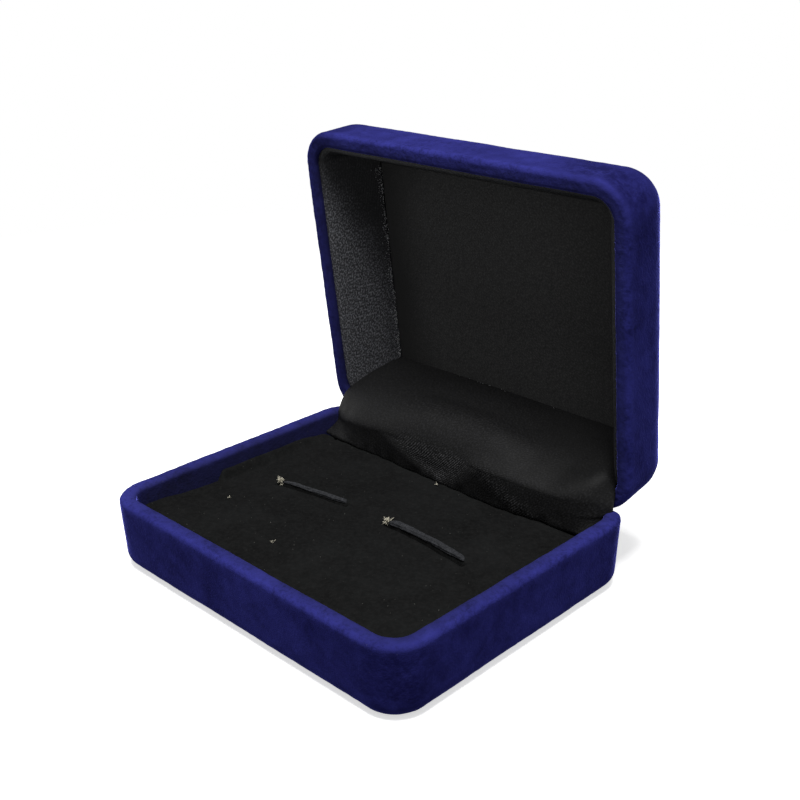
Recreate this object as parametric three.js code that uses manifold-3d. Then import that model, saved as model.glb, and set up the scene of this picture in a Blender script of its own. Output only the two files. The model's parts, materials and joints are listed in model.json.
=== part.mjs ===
import * as THREE from 'three';
import { mergeVertices } from 'three/addons/utils/BufferGeometryUtils.js';
import Module from 'manifold-3d';

// Cufflink display box with its lid open: two velvet-covered tubs on a sprung hinge.
// Millimetres, +Z up, +X along the hinge, front towards -Y, origin at the middle of the underside.

const wasm = await Module();
wasm.setup();

// Outside of the box
const boxWidth = 80;
const boxDepth = 65;
const baseHeight = 14.7;
const lidHeight = 15;
const cornerRadius = 7.5;
const baseEdgeRadius = 3.5;
const lidEdgeRadius = 7.2;
const rimOuterRadius = 1;
const rimInnerRadius = 0.8;
const wallDraft = THREE.MathUtils.degToRad(2.5);
const openAngle = THREE.MathUtils.degToRad(83);
const seamGap = 0.3;

// Layers of the walls
const velvetThickness = 0.6;
const baseWall = 1.5;
const lidWall = 1.3;
const baseFlapDepth = 7;
const lidFlapDepth = 1.2;
const fitGap = 0.3;
const overrun = 1;

// Hinge
const pivotInset = 1.9;
const pivotRise = 0.84;
const leafLength = 40;
const leafHeight = 9;
const leafThickness = 0.55;
const barrelRadius = 1.3;
const pinRadius = 0.45;
const pinHeadRadius = 0.9;
const pinHeadLength = 0.5;
const knuckleCount = 5;
const knuckleGap = 0.4;

// Snap spring and the hooks that hold it
const springStandoff = 2.5;
const springBulge = 4.8;
const springThickness = 0.4;
const springWidth = 8;
const springBarRadius = 0.4;
const hookThickness = 0.5;
const hookWidth = 2;

// Rivets
const rivetDrop = 6;
const rivetShankRadius = 0.8;
const rivetHeadRadius = 1.6;
const rivetHeadThickness = 0.5;
const rivetTailRadius = 1.3;
const rivetTailThickness = 0.35;
const rivetSinkDepth = 0.75;
const rivetPlaceShares = [-0.42, -0.24, 0.24, 0.42];

// Pad in the base
const padDrop = 4.2;
const padCrown = 0.7;
const padEdgeRadius = 1.6;
const padBackGap = 8.3;
const padVelvetThickness = 0.6;
const padCardThickness = 1;
const slotWidth = 1.6;
const slotDepth = 6;
const leftSlot = { x: -16.2, y: 0.7, length: 16.8, turn: THREE.MathUtils.degToRad(9.5) };
const rightSlot = { x: 14, y: 1.8, length: 20.5, turn: THREE.MathUtils.degToRad(-2.4) };

// Lining of the lid
const satinThickness = 0.3;
const liningCardThickness = 0.6;
const panelCardThickness = 0.8;
const panelSideInset = 11;
const panelFrontInset = 8.3;
const liningTopDrop = 0.7;
const liningCardSetback = 1.5;

// Satin curtain over the hinge
const curtainThickness = 0.4;
const curtainTuck = 3;
const curtainRollRise = 7.5;
const curtainReach = 10;
const curtainSlope = THREE.MathUtils.degToRad(29);
const curtainPucker = 0.6;
const puckerLength = 21;
const puckerReach = 4;
const curtainEndShares = [0.965, 0.99, 1, 0.98, 0.93, 0.86, 0.79];

// Smoothness of the round stretches
const cornerSteps = 6;
const edgeSteps = 3;
const rimSteps = 1;
const roundSteps = 16;
const rivetSteps = 12;
const crownSteps = 4;
const curtainSteps = 16;
const curtainColumns = 20;
const weldDistance = 1e-4;

// Places that follow from the sizes above
const baseRimWidth = 2 * velvetThickness + 2 * fitGap + baseWall;
const lidRimWidth = 2 * velvetThickness + 2 * fitGap + lidWall;
const draftSlope = Math.tan(wallDraft);
const pivotY = boxDepth / 2 - pivotInset;
const pivotZ = baseHeight + pivotRise;
const lidRimZ = seamGap - pivotRise;
const rebateWidth = velvetThickness + 2 * fitGap + baseWall;
const rebateDepth = Math.hypot(pivotInset, lidRimZ) + fitGap - pivotRise;
const baseTub = {
  height: baseHeight, edgeRadius: baseEdgeRadius, wall: baseWall, rim: baseRimWidth, flap: baseFlapDepth,
};
const lidTub = {
  height: lidHeight, edgeRadius: lidEdgeRadius, wall: lidWall, rim: lidRimWidth, flap: lidFlapDepth,
};
const baseLining = velvetThickness + fitGap + baseWall;
const lidLining = velvetThickness + fitGap + lidWall;
const knuckleLength = leafLength / knuckleCount;
const pinEnd = leafLength / 2 + fitGap + pinHeadLength;
const springReach = springStandoff * Math.tan((Math.PI - openAngle / 2) / 2);
const springStretch = 2 * (Math.hypot(springStandoff, springReach) - springReach);
const panelFace = lidHeight - lidLining - 2 * fitGap - panelCardThickness - satinThickness;
const padBackY = boxDepth / 2 - padBackGap;
const foamBottomZ = baseLining + padCardThickness + fitGap;
const slotBottomZ = baseHeight - padDrop - slotDepth;

const materials = {
  blueVelvet: new THREE.MeshStandardMaterial({ color: 0x2b2a80, roughness: 0.95, metalness: 0 }),
  blackVelvet: new THREE.MeshStandardMaterial({ color: 0x17171a, roughness: 1, metalness: 0 }),
  satin: new THREE.MeshStandardMaterial({ color: 0x222224, roughness: 0.55, metalness: 0 }),
  plastic: new THREE.MeshStandardMaterial({ color: 0x1c1d3a, roughness: 0.5, metalness: 0 }),
  foam: new THREE.MeshStandardMaterial({ color: 0x2a2a2c, roughness: 1, metalness: 0 }),
  card: new THREE.MeshStandardMaterial({ color: 0x8d8578, roughness: 0.9, metalness: 0 }),
  steel: new THREE.MeshStandardMaterial({ color: 0xb9bcc0, roughness: 0.35, metalness: 1 }),
};

// Welds a geometry, drops collapsed triangles and turns its faces outwards
function tidy(geometry) {
  geometry.deleteAttribute('normal');
  geometry.deleteAttribute('uv');
  const welded = mergeVertices(geometry, weldDistance);
  const corners = welded.index.array;
  const kept = [];
  const points = [new THREE.Vector3(), new THREE.Vector3(), new THREE.Vector3()];
  let volume = 0;
  for (let first = 0; first < corners.length; first += 3) {
    const triangle = [corners[first], corners[first + 1], corners[first + 2]];
    if (new Set(triangle).size === 3) {
      kept.push(...triangle);
      triangle.forEach((corner, place) => {
        points[place].fromBufferAttribute(welded.attributes.position, corner);
      });
      volume += points[0].dot(points[1].cross(points[2]));
    }
  }
  if (volume < 0) kept.reverse();
  welded.setIndex(kept);
  return welded;
}

function toSolid(geometry) {
  const closed = tidy(geometry);
  const vertProperties = new Float32Array(closed.attributes.position.array);
  const triVerts = new Uint32Array(closed.index.array);
  return new wasm.Manifold(new wasm.Mesh({ numProp: 3, vertProperties, triVerts }));
}

function toGeometry(solid) {
  const mesh = solid.getMesh();
  const geometry = new THREE.BufferGeometry();
  geometry.setAttribute('position', new THREE.BufferAttribute(new Float32Array(mesh.vertProperties), 3));
  geometry.setIndex(Array.from(mesh.triVerts));
  return geometry;
}

function cut(geometry, ...cutters) {
  let solid = toSolid(geometry);
  for (const cutter of cutters) solid = solid.subtract(toSolid(cutter));
  return toGeometry(solid);
}

function join(...geometries) {
  let solid = toSolid(geometries[0]);
  for (const geometry of geometries.slice(1)) solid = solid.add(toSolid(geometry));
  return toGeometry(solid);
}

function boxBetween(low, high) {
  const size = high.map((value, axis) => value - low[axis]);
  const centre = high.map((value, axis) => (value + low[axis]) / 2);
  return new THREE.BoxGeometry(...size).translate(...centre);
}

// Extrudes an outline of Y and Z places along X, centred on X = 0
function alongX(shape, length, curveSegments = roundSteps, steps = 1) {
  const turn = new THREE.Matrix4().makeBasis(
    new THREE.Vector3(0, 1, 0), new THREE.Vector3(0, 0, 1), new THREE.Vector3(1, 0, 0));
  return new THREE.ExtrudeGeometry(shape, { depth: length, bevelEnabled: false, curveSegments, steps })
    .applyMatrix4(turn).translate(-length / 2, 0, 0);
}

// Lathes a profile and pulls its four quarters apart into a rounded rectangle.
// Profile points hold the inset from the outline, the height and a shift towards the front.
function roundedSweep(profile, plan) {
  const columns = 4 * (cornerSteps + 1);
  const outline = profile.map((point) => new THREE.Vector2(point.x, point.y));
  const geometry = new THREE.LatheGeometry(outline, columns);
  const place = geometry.attributes.position;
  for (let index = 0; index < place.count; index += 1) {
    const point = profile[index % profile.length];
    const column = Math.floor(index / profile.length) % columns;
    const quarter = Math.floor(column / (cornerSteps + 1));
    const angle = (quarter + (column % (cornerSteps + 1)) / cornerSteps) * Math.PI / 2;
    const radius = Math.max(plan.radius - point.x, 0);
    const armX = (quarter % 3 === 0 ? 1 : -1) * (plan.halfWidth - point.x - radius);
    const armY = (quarter < 2 ? 1 : -1) * (plan.halfDepth - point.x - radius);
    place.setXYZ(index, armX + radius * Math.cos(angle),
      plan.centreY - point.z + armY + radius * Math.sin(angle), point.y);
  }
  return geometry;
}

const boxPlan = { halfWidth: boxWidth / 2, halfDepth: boxDepth / 2, radius: cornerRadius, centreY: 0 };

function middleInset(plan) {
  return Math.min(plan.halfWidth, plan.halfDepth);
}

// Inset of a drafted wall at a depth from the rim, under a given thickness of outer layers
function wallInset(depth, cover) {
  return draftSlope * depth + cover / Math.cos(wallDraft);
}

// Inset and depth of one surface of a tub, from the middle of its floor up to a depth below the rim
function tubLine(tub, cover, top) {
  const radius = tub.edgeRadius - cover;
  const centreDepth = tub.height - tub.edgeRadius;
  const middle = new THREE.Vector2(middleInset(boxPlan), tub.height - cover);
  const path = new THREE.Path();
  path.absarc(wallInset(centreDepth, cover + radius), centreDepth, radius,
    Math.PI / 2, Math.PI - wallDraft, false);
  path.lineTo(wallInset(top, cover), top);
  return [middle, ...path.getPoints(edgeSteps)];
}

// The rounded rim, from the outer face over to the inner face
function rimLine(tub) {
  const path = new THREE.Path();
  path.absarc(wallInset(rimOuterRadius, rimOuterRadius), rimOuterRadius, rimOuterRadius,
    Math.PI - wallDraft, 1.5 * Math.PI, false);
  path.absarc(wallInset(rimInnerRadius, tub.rim - rimInnerRadius), rimInnerRadius, rimInnerRadius,
    1.5 * Math.PI, 2 * Math.PI - wallDraft, false);
  return path.getPoints(rimSteps);
}

// Turns insets and depths into sweep points, going up or down from the height of the rim
function profileFrom(points, rimZ, direction) {
  return points.map((point) => new THREE.Vector3(point.x, rimZ + direction * point.y, 0));
}

function tubShell(tub) {
  const outer = tubLine(tub, velvetThickness + fitGap, velvetThickness + fitGap);
  const inner = tubLine(tub, velvetThickness + fitGap + tub.wall, velvetThickness + fitGap);
  return [...outer, ...inner.reverse()];
}

function tubEnvelope(tub) {
  const outer = tubLine(tub, 0, rimOuterRadius);
  const inner = tubLine(tub, velvetThickness + fitGap + tub.wall / 2, tub.flap);
  const flapEnd = new THREE.Vector2(wallInset(tub.flap, tub.rim), tub.flap);
  return [...outer.slice(0, -1), ...rimLine(tub), flapEnd, ...inner.reverse()];
}

function tubCavity(tub) {
  const outer = tubLine(tub, velvetThickness, velvetThickness);
  const inner = tubLine(tub, tub.rim - velvetThickness, velvetThickness);
  return [...outer, ...inner.reverse()];
}

// Height below which the back wall of the base stays, under a given thickness of velvet
function backRebate(layers, frontY) {
  return boxBetween(
    [-boxWidth, frontY, baseHeight - rebateDepth - layers],
    [boxWidth, boxDepth, baseHeight + overrun]);
}

// A rod along Y with room round it, from a place backwards
function boreBehind(radius, y) {
  return new THREE.CylinderGeometry(radius + fitGap, radius + fitGap, boxDepth, rivetSteps)
    .translate(0, y + boxDepth / 2, 0);
}

// Outer face of a shell at its rivets, from the pivot; direction is down for the base, up for the lid
function rivetFaceY(direction) {
  const depth = direction < 0 ? rivetDrop - pivotRise : rivetDrop - lidRimZ;
  return pivotInset - wallInset(depth, velvetThickness + fitGap);
}

function rivetHoles(direction) {
  const faceY = rivetFaceY(direction);
  return rivetPlaceShares.flatMap((share) => [
    boreBehind(rivetShankRadius, faceY - baseWall - overrun),
    boreBehind(rivetTailRadius, faceY - rivetSinkDepth),
  ].map((bore) => bore.translate(share * leafLength, 0, direction * rivetDrop)));
}

function baseShellGeometry() {
  const whole = roundedSweep(profileFrom(tubShell(baseTub), baseHeight, -1), boxPlan);
  const rebate = backRebate(velvetThickness + fitGap, boxDepth / 2 - rebateWidth - fitGap);
  const holes = rivetHoles(-1).map((hole) => hole.translate(0, pivotY, pivotZ));
  return cut(whole, rebate, ...holes);
}

function baseVelvetGeometry() {
  const envelope = roundedSweep(profileFrom(tubEnvelope(baseTub), baseHeight, -1), boxPlan);
  const cavity = cut(
    roundedSweep(profileFrom(tubCavity(baseTub), baseHeight, -1), boxPlan),
    backRebate(velvetThickness, boxDepth / 2 - rebateWidth));
  const windowHalf = leafLength / 2 + fitGap;
  const leafWindow = boxBetween(
    [-windowHalf, pivotY - barrelRadius - overrun - fitGap, baseHeight - baseFlapDepth - overrun],
    [windowHalf, boxDepth / 2 - baseLining, baseHeight + overrun]);
  return cut(envelope, cavity, backRebate(0, boxDepth / 2 - rebateWidth), leafWindow);
}

// Outline of the pad: the tub's inside with its back edge in front of the hinge
function padPlan(cover) {
  const inset = baseRimWidth + fitGap + cover;
  const frontY = -boxDepth / 2 + inset;
  return {
    halfWidth: boxWidth / 2 - inset,
    halfDepth: (padBackY - cover - frontY) / 2,
    radius: cornerRadius - inset,
    centreY: (padBackY - cover + frontY) / 2,
  };
}

// A crowned top with a rounded edge and drafted sides; heights are measured down from the rim
function padLine(plan, cover, bottom) {
  const top = padDrop + cover;
  const radius = padEdgeRadius - cover;
  const middle = middleInset(plan);
  const edge = wallInset(top + radius, radius);
  const points = [];
  for (let step = 0; step <= crownSteps; step += 1) {
    const share = 1 - step / crownSteps;
    const inset = edge + (middle - edge) * share;
    points.push(new THREE.Vector2(inset, top - padCrown * (1 - (1 - share) ** 2)));
  }
  const path = new THREE.Path();
  path.absarc(edge, top + radius, radius, 1.5 * Math.PI, Math.PI - wallDraft, true);
  path.lineTo(draftSlope * bottom, bottom);
  return [...points, ...path.getPoints(rimSteps).slice(1)];
}

function slotCutter(slot, extra, bottomZ) {
  const reach = slot.length / 2 - slotWidth / 2;
  const radius = slotWidth / 2 + extra;
  const shape = new THREE.Shape();
  shape.absarc(reach, 0, radius, -Math.PI / 2, Math.PI / 2, false);
  shape.absarc(-reach, 0, radius, Math.PI / 2, 1.5 * Math.PI, false);
  const depth = baseHeight - bottomZ;
  return new THREE.ExtrudeGeometry(shape, { depth, bevelEnabled: false, curveSegments: cornerSteps })
    .rotateZ(slot.turn).translate(slot.x, slot.y, bottomZ);
}

function padVelvetGeometry() {
  const plan = padPlan(0);
  const middle = middleInset(plan);
  const outer = padLine(plan, 0, baseHeight - foamBottomZ);
  const inner = padLine(plan, padVelvetThickness, baseHeight - foamBottomZ)
    .map((point) => new THREE.Vector2(Math.min(point.x + padVelvetThickness, middle), point.y));
  const whole = roundedSweep(profileFrom([...outer, ...inner.reverse()], baseHeight, -1), plan);
  return cut(whole, slotCutter(leftSlot, 0, slotBottomZ), slotCutter(rightSlot, 0, slotBottomZ));
}

function padFoamGeometry() {
  const cover = padVelvetThickness + fitGap;
  const plan = padPlan(cover);
  const top = padLine(plan, cover, baseHeight - foamBottomZ);
  const floor = new THREE.Vector2(middleInset(plan), baseHeight - foamBottomZ);
  const whole = roundedSweep(profileFrom([...top, floor], baseHeight, -1), plan);
  return cut(whole, slotCutter(leftSlot, 0, slotBottomZ), slotCutter(rightSlot, 0, slotBottomZ));
}

// A flat card between two heights, with its edge at an inset from the plan
function cardSweep(plan, edge, low, high) {
  const middle = middleInset(plan);
  const profile = [[middle, low], [edge, low], [edge, high], [middle, high]];
  return roundedSweep(profile.map(([inset, height]) => new THREE.Vector3(inset, height, 0)), plan);
}

function padCardGeometry() {
  const edge = draftSlope * (baseHeight - baseLining);
  return cardSweep(padPlan(fitGap), edge, baseLining, baseLining + padCardThickness);
}

// Hinge pieces are drawn about the pivot, with the leaf hanging down along the base's back wall
function knuckle(place) {
  const shape = new THREE.Shape();
  shape.absarc(0, 0, barrelRadius, 0, 2 * Math.PI, false);
  const bore = new THREE.Path();
  bore.absarc(0, 0, pinRadius + fitGap, 0, 2 * Math.PI, true);
  shape.holes.push(bore);
  const middleX = place * knuckleLength + (knuckleLength - leafLength) / 2;
  return alongX(shape, knuckleLength - knuckleGap).translate(middleX, 0, 0);
}

function leafPlate() {
  const lean = leafHeight * draftSlope;
  const shape = new THREE.Shape();
  shape.moveTo(-barrelRadius, 0);
  shape.lineTo(-barrelRadius + leafThickness, 0);
  shape.lineTo(-barrelRadius + leafThickness - lean, -leafHeight);
  shape.lineTo(-barrelRadius - lean, -leafHeight);
  return alongX(shape, leafLength);
}

function springHook(side, slack) {
  const rootY = -barrelRadius + leafThickness / 2 - springReach * draftSlope;
  const shelf = -springReach + springBarRadius + slack;
  const lip = -springStandoff - springBarRadius - fitGap;
  const shape = new THREE.Shape();
  shape.moveTo(rootY, shelf + hookThickness);
  shape.lineTo(lip - hookThickness, shelf + hookThickness);
  shape.lineTo(lip - hookThickness, -springReach);
  shape.lineTo(lip, -springReach);
  shape.lineTo(lip, shelf);
  shape.lineTo(rootY, shelf);
  return alongX(shape, hookWidth).translate(side * (springWidth / 2 + fitGap + hookWidth / 2), 0, 0);
}

function hingeLeaf(firstKnuckle, slack) {
  const own = [];
  const notches = [];
  for (let place = 0; place < knuckleCount; place += 1) {
    if (place % 2 === firstKnuckle) own.push(knuckle(place));
    else {
      const left = place * knuckleLength - leafLength / 2;
      notches.push(boxBetween(
        [left - knuckleGap / 2, -barrelRadius - overrun, -barrelRadius - fitGap],
        [left + knuckleLength + knuckleGap / 2, barrelRadius, overrun]));
    }
  }
  const bore = new THREE.CylinderGeometry(pinRadius + fitGap, pinRadius + fitGap, boxWidth, roundSteps)
    .rotateZ(Math.PI / 2);
  const holes = rivetPlaceShares.map((share) => (
    boreBehind(rivetShankRadius, -boxDepth / 2).translate(share * leafLength, 0, -rivetDrop)));
  const plate = cut(leafPlate(), ...notches, ...holes);
  const whole = join(plate, ...own, springHook(-1, slack), springHook(1, slack));
  return cut(whole, bore);
}

// Turns radii and heights round the Y axis
function turned(profile, steps) {
  return new THREE.LatheGeometry(profile.map(([radius, height]) => new THREE.Vector2(radius, height)), steps);
}

function hingePinGeometry() {
  const neck = leafLength / 2 + fitGap;
  const profile = [
    [0, -pinEnd], [pinHeadRadius, -pinEnd], [pinHeadRadius, -neck], [pinRadius, -neck],
    [pinRadius, neck], [pinHeadRadius, neck], [pinHeadRadius, pinEnd], [0, pinEnd],
  ];
  return turned(profile, roundSteps).rotateZ(Math.PI / 2);
}

// A strip bent into a half ellipse between two cross bars, drawn upright about its lower bar
function snapSpringGeometry() {
  const half = springThickness / 2;
  const shape = new THREE.Shape();
  shape.absellipse(0, springReach, springBulge + half, springReach + half,
    Math.PI / 2, 1.5 * Math.PI, false);
  shape.absellipse(0, springReach, springBulge - half, springReach - half,
    1.5 * Math.PI, Math.PI / 2, true);
  const barLength = springWidth + 2 * fitGap + 2 * hookWidth;
  const bars = [0, 2 * springReach].map((height) => new THREE.CylinderGeometry(
    springBarRadius, springBarRadius, barLength, roundSteps / 2)
    .rotateZ(Math.PI / 2).translate(0, 0, height));
  return join(alongX(shape, springWidth), ...bars);
}

function rivetGeometry(length) {
  const tailHeight = length - rivetTailThickness;
  const profile = [
    [0, 0], [rivetHeadRadius, 0], [rivetHeadRadius, rivetHeadThickness],
    [rivetShankRadius, rivetHeadThickness], [rivetShankRadius, tailHeight],
    [rivetTailRadius, tailHeight], [rivetTailRadius, length], [0, length],
  ];
  return turned(profile, rivetSteps);
}

// Lid pieces are drawn closed, about the pivot
const lidPlan = { ...boxPlan, centreY: -pivotY };

function barrelNotch() {
  const half = pinEnd + fitGap;
  return boxBetween(
    [-half, -barrelRadius - lidRimWidth, lidRimZ - overrun],
    [half, pivotInset + overrun, barrelRadius + fitGap]);
}

function lidShellGeometry() {
  const whole = roundedSweep(profileFrom(tubShell(lidTub), lidRimZ, 1), lidPlan);
  return cut(whole, barrelNotch(), ...rivetHoles(1));
}

function lidVelvetGeometry() {
  const envelope = roundedSweep(profileFrom(tubEnvelope(lidTub), lidRimZ, 1), lidPlan);
  const cavity = roundedSweep(profileFrom(tubCavity(lidTub), lidRimZ, 1), lidPlan);
  return cut(envelope, cavity, barrelNotch());
}

function panelPlan(cover) {
  const backY = boxDepth / 2 - panelSideInset - cover;
  const frontY = -boxDepth / 2 + panelFrontInset + cover;
  return {
    halfWidth: boxWidth / 2 - panelSideInset - cover,
    halfDepth: (backY - frontY) / 2,
    radius: 0,
    centreY: (backY + frontY) / 2 - pivotY,
  };
}

function panelCardGeometry() {
  const low = lidRimZ + panelFace + satinThickness + fitGap;
  return cardSweep(panelPlan(satinThickness + fitGap), 0, low, low + panelCardThickness);
}

// Satin stretched over the panel card and turned down round its edges
function panelSatinGeometry() {
  const plan = panelPlan(0);
  const face = lidRimZ + panelFace;
  const end = face + satinThickness + fitGap + panelCardThickness;
  const middle = middleInset(plan);
  const profile = [
    [middle, face], [0, face], [0, end], [satinThickness, end],
    [satinThickness, face + satinThickness], [middle, face + satinThickness],
  ];
  return roundedSweep(profile.map(([inset, height]) => new THREE.Vector3(inset, height, 0)), plan);
}

// A sloping band from the lid's rim to the panel on three sides, between two depths behind its face
function liningBand(near, far, setback) {
  const startInset = wallInset(liningTopDrop, lidRimWidth) + fitGap + satinThickness;
  const start = new THREE.Vector2(startInset, liningTopDrop);
  const end = new THREE.Vector2(panelSideInset - fitGap, panelFace);
  const along = end.clone().sub(start).normalize();
  const behind = new THREE.Vector2(-along.y, along.x);
  const corners = [
    start.clone().addScaledVector(along, setback).addScaledVector(behind, near),
    end.clone().addScaledVector(along, -setback / 2).addScaledVector(behind, near),
    end.clone().addScaledVector(along, -setback / 2).addScaledVector(behind, far),
    start.clone().addScaledVector(along, setback).addScaledVector(behind, far),
  ];
  const frontShift = panelSideInset - panelFrontInset;
  const profile = [...corners, corners[0]].map((point) => new THREE.Vector3(
    point.x, lidRimZ + point.y, frontShift * (point.x - start.x) / (end.x - start.x)));
  const plan = {
    halfWidth: boxWidth / 2,
    halfDepth: (boxDepth + panelSideInset) / 2,
    radius: cornerRadius,
    centreY: panelSideInset / 2 - pivotY,
  };
  const endY = boxDepth / 2 - cornerRadius - pivotY;
  const behindEnd = boxBetween([-boxWidth, endY, -boxDepth], [boxWidth, endY + boxDepth, boxDepth]);
  return cut(roundedSweep(profile, plan), behindEnd);
}

// Turns a place of the closed lid, about the pivot, to where it stands with the lid open
function opened(y, z) {
  return new THREE.Vector2(y, z).rotateAround(new THREE.Vector2(), -openAngle);
}

// Satin from the panel's back edge over the hinge and down behind the pad, about the pivot, lid open
function curtainGeometry() {
  const creaseY = boxDepth / 2 - panelSideInset + fitGap + curtainThickness - pivotY;
  const crease = opened(creaseY, lidRimZ + panelFace);
  const padEdge = new THREE.Vector2(
    padBackY + fitGap + curtainThickness - pivotY, -pivotRise - padDrop - padEdgeRadius / 2);
  const slope = new THREE.Vector2(-Math.cos(curtainSlope), -Math.sin(curtainSlope));
  const visible = new THREE.CubicBezierCurve(
    crease, crease.clone().addScaledVector(slope, curtainReach),
    padEdge.clone().add(new THREE.Vector2(0, curtainRollRise)), padEdge);
  const route = visible.getSpacedPoints(curtainSteps);
  route.push(padEdge.clone().add(new THREE.Vector2(0, -curtainTuck)));
  const sideOf = (index, offset) => {
    const before = route[Math.max(index - 1, 0)];
    const after = route[Math.min(index + 1, route.length - 1)];
    const along = after.clone().sub(before).normalize();
    return route[index].clone().add(new THREE.Vector2(along.y, -along.x).multiplyScalar(offset));
  };
  const front = route.map((point, index) => sideOf(index, curtainThickness / 2));
  const back = route.map((point, index) => sideOf(index, -curtainThickness / 2));
  const shape = new THREE.Shape([...front, ...back.reverse()]);
  const geometry = alongX(shape, boxWidth - 2 * (baseRimWidth + fitGap), 1, curtainColumns);
  const shares = curtainEndShares.map((share) => new THREE.Vector2(share, 0));
  const ends = new THREE.SplineCurve(shares);
  const place = geometry.attributes.position;
  for (let index = 0; index < place.count; index += 1) {
    const y = place.getY(index);
    const z = place.getZ(index);
    const rise = (z - padEdge.y) / (crease.y - padEdge.y);
    const share = ends.getPoint(THREE.MathUtils.clamp(rise, 0, 1)).x;
    const x = place.getX(index) * share;
    const away = new THREE.Vector2((z - barrelRadius) / puckerReach, x / puckerLength);
    const push = curtainPucker * Math.exp(-away.lengthSq()) * Math.cos(2 * Math.PI * away.y);
    place.setXYZ(index, x, y - push, z + push);
  }
  return geometry;
}

const box = new THREE.Group();
const hinge = new THREE.Group();
hinge.position.set(0, pivotY, pivotZ);
box.add(hinge);
const lid = new THREE.Group();
lid.rotation.x = -openAngle;
hinge.add(lid);

function addPiece(parent, name, geometry, material) {
  const mesh = new THREE.Mesh(tidy(geometry), material);
  mesh.name = name;
  parent.add(mesh);
  return mesh;
}

// Rivets through a leaf and its wall
function addRivets(parent, prefix, direction) {
  const headY = -barrelRadius - rivetDrop * draftSlope - fitGap - rivetHeadThickness;
  const tailY = rivetFaceY(direction) - rivetSinkDepth + fitGap + rivetTailThickness;
  rivetPlaceShares.forEach((share, index) => {
    const name = `${prefix}_${index + 1}`;
    const rivet = addPiece(parent, name, rivetGeometry(tailY - headY), materials.steel);
    rivet.position.set(share * leafLength, headY, direction * rivetDrop);
  });
}

addPiece(box, 'base_velvet_cover', baseVelvetGeometry(), materials.blueVelvet);
addPiece(box, 'base_shell', baseShellGeometry(), materials.plastic);
addPiece(box, 'pad_card', padCardGeometry(), materials.card);
addPiece(box, 'pad_foam', padFoamGeometry(), materials.foam);
addPiece(box, 'pad_velvet', padVelvetGeometry(), materials.blackVelvet);

addPiece(hinge, 'hinge_base_leaf', hingeLeaf(0, fitGap), materials.steel);
addPiece(hinge, 'hinge_pin', hingePinGeometry(), materials.steel);
addRivets(hinge, 'base_rivet', -1);
addPiece(hinge, 'hinge_curtain', curtainGeometry(), materials.satin);

const snapSpring = addPiece(hinge, 'snap_spring', snapSpringGeometry(), materials.steel);
snapSpring.position.set(0, -springStandoff, -springReach);
snapSpring.rotation.x = -openAngle / 2;

addPiece(lid, 'lid_velvet_cover', lidVelvetGeometry(), materials.blueVelvet);
addPiece(lid, 'lid_shell', lidShellGeometry(), materials.plastic);
addPiece(lid, 'lid_panel_card', panelCardGeometry(), materials.card);
addPiece(lid, 'lid_panel_satin', panelSatinGeometry(), materials.satin);
addPiece(lid, 'lid_side_lining_satin', liningBand(0, satinThickness, 0), materials.satin);
const liningCardNear = satinThickness + fitGap;
const liningCard = liningBand(liningCardNear, liningCardNear + liningCardThickness, liningCardSetback);
addPiece(lid, 'lid_side_lining_card', liningCard, materials.card);
addPiece(lid, 'hinge_lid_leaf', hingeLeaf(1, fitGap + springStretch).scale(1, 1, -1), materials.steel);
addRivets(lid, 'lid_rivet', 1);

export default box;
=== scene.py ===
import json
import math

import bmesh
import bpy
import numpy as np
from mathutils import Matrix


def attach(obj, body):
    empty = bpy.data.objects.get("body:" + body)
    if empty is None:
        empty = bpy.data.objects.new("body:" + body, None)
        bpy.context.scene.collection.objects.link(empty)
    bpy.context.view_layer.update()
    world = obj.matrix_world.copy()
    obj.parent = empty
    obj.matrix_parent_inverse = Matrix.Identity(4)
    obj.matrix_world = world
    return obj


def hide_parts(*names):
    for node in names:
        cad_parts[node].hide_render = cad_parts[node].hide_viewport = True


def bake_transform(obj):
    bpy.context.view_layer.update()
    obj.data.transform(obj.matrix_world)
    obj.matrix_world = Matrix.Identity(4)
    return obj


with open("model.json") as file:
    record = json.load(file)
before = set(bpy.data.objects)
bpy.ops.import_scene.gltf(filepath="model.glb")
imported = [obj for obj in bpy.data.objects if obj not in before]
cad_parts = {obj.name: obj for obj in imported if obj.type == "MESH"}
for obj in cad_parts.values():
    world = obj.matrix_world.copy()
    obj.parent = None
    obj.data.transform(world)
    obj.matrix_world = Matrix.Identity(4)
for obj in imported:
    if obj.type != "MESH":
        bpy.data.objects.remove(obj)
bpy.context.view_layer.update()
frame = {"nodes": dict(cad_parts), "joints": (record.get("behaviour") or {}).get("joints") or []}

# Cufflink display box, open. Shapes are worked out in millimetres and put into meshes in metres.
MM = 0.001

# Outside of the box, as in the part's source
BOX_WIDTH = 80
BOX_DEPTH = 65
BASE_HEIGHT = 14.7
CORNER_RADIUS = 7.5
DRAFT = math.radians(2.5)
SLOPE = math.tan(DRAFT)
RIM_OUTER_RADIUS = 1
RIM_INNER_RADIUS = 0.8
VELVET = 0.6

# Each tub's height, radius of its bottom edge, width of its rim, how deep the velvet turns in, how far the
# pile on the flat of the rim fans out and is lightened, partly as painted light on its lit top, and how
# far it is rubbed down
BASE_TUB = {"height": BASE_HEIGHT, "edge": 3.5, "rim": 3.3, "flap": 7.2, "fanned_and_lit": 0.9, "rubbed": 0.35}
LID_TUB = {"height": 15, "edge": 7.2, "rim": 3.1, "flap": 1.2, "fanned_and_lit": 1.5, "rubbed": 0.6}

# Waves of the velvet: length, height, and the height added where the pile spreads
VELVET_WAVES = [(9, 0.06, 0), (2.3, 0.02, 0.015), (0.75, 0.015, 0.045)]
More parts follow.
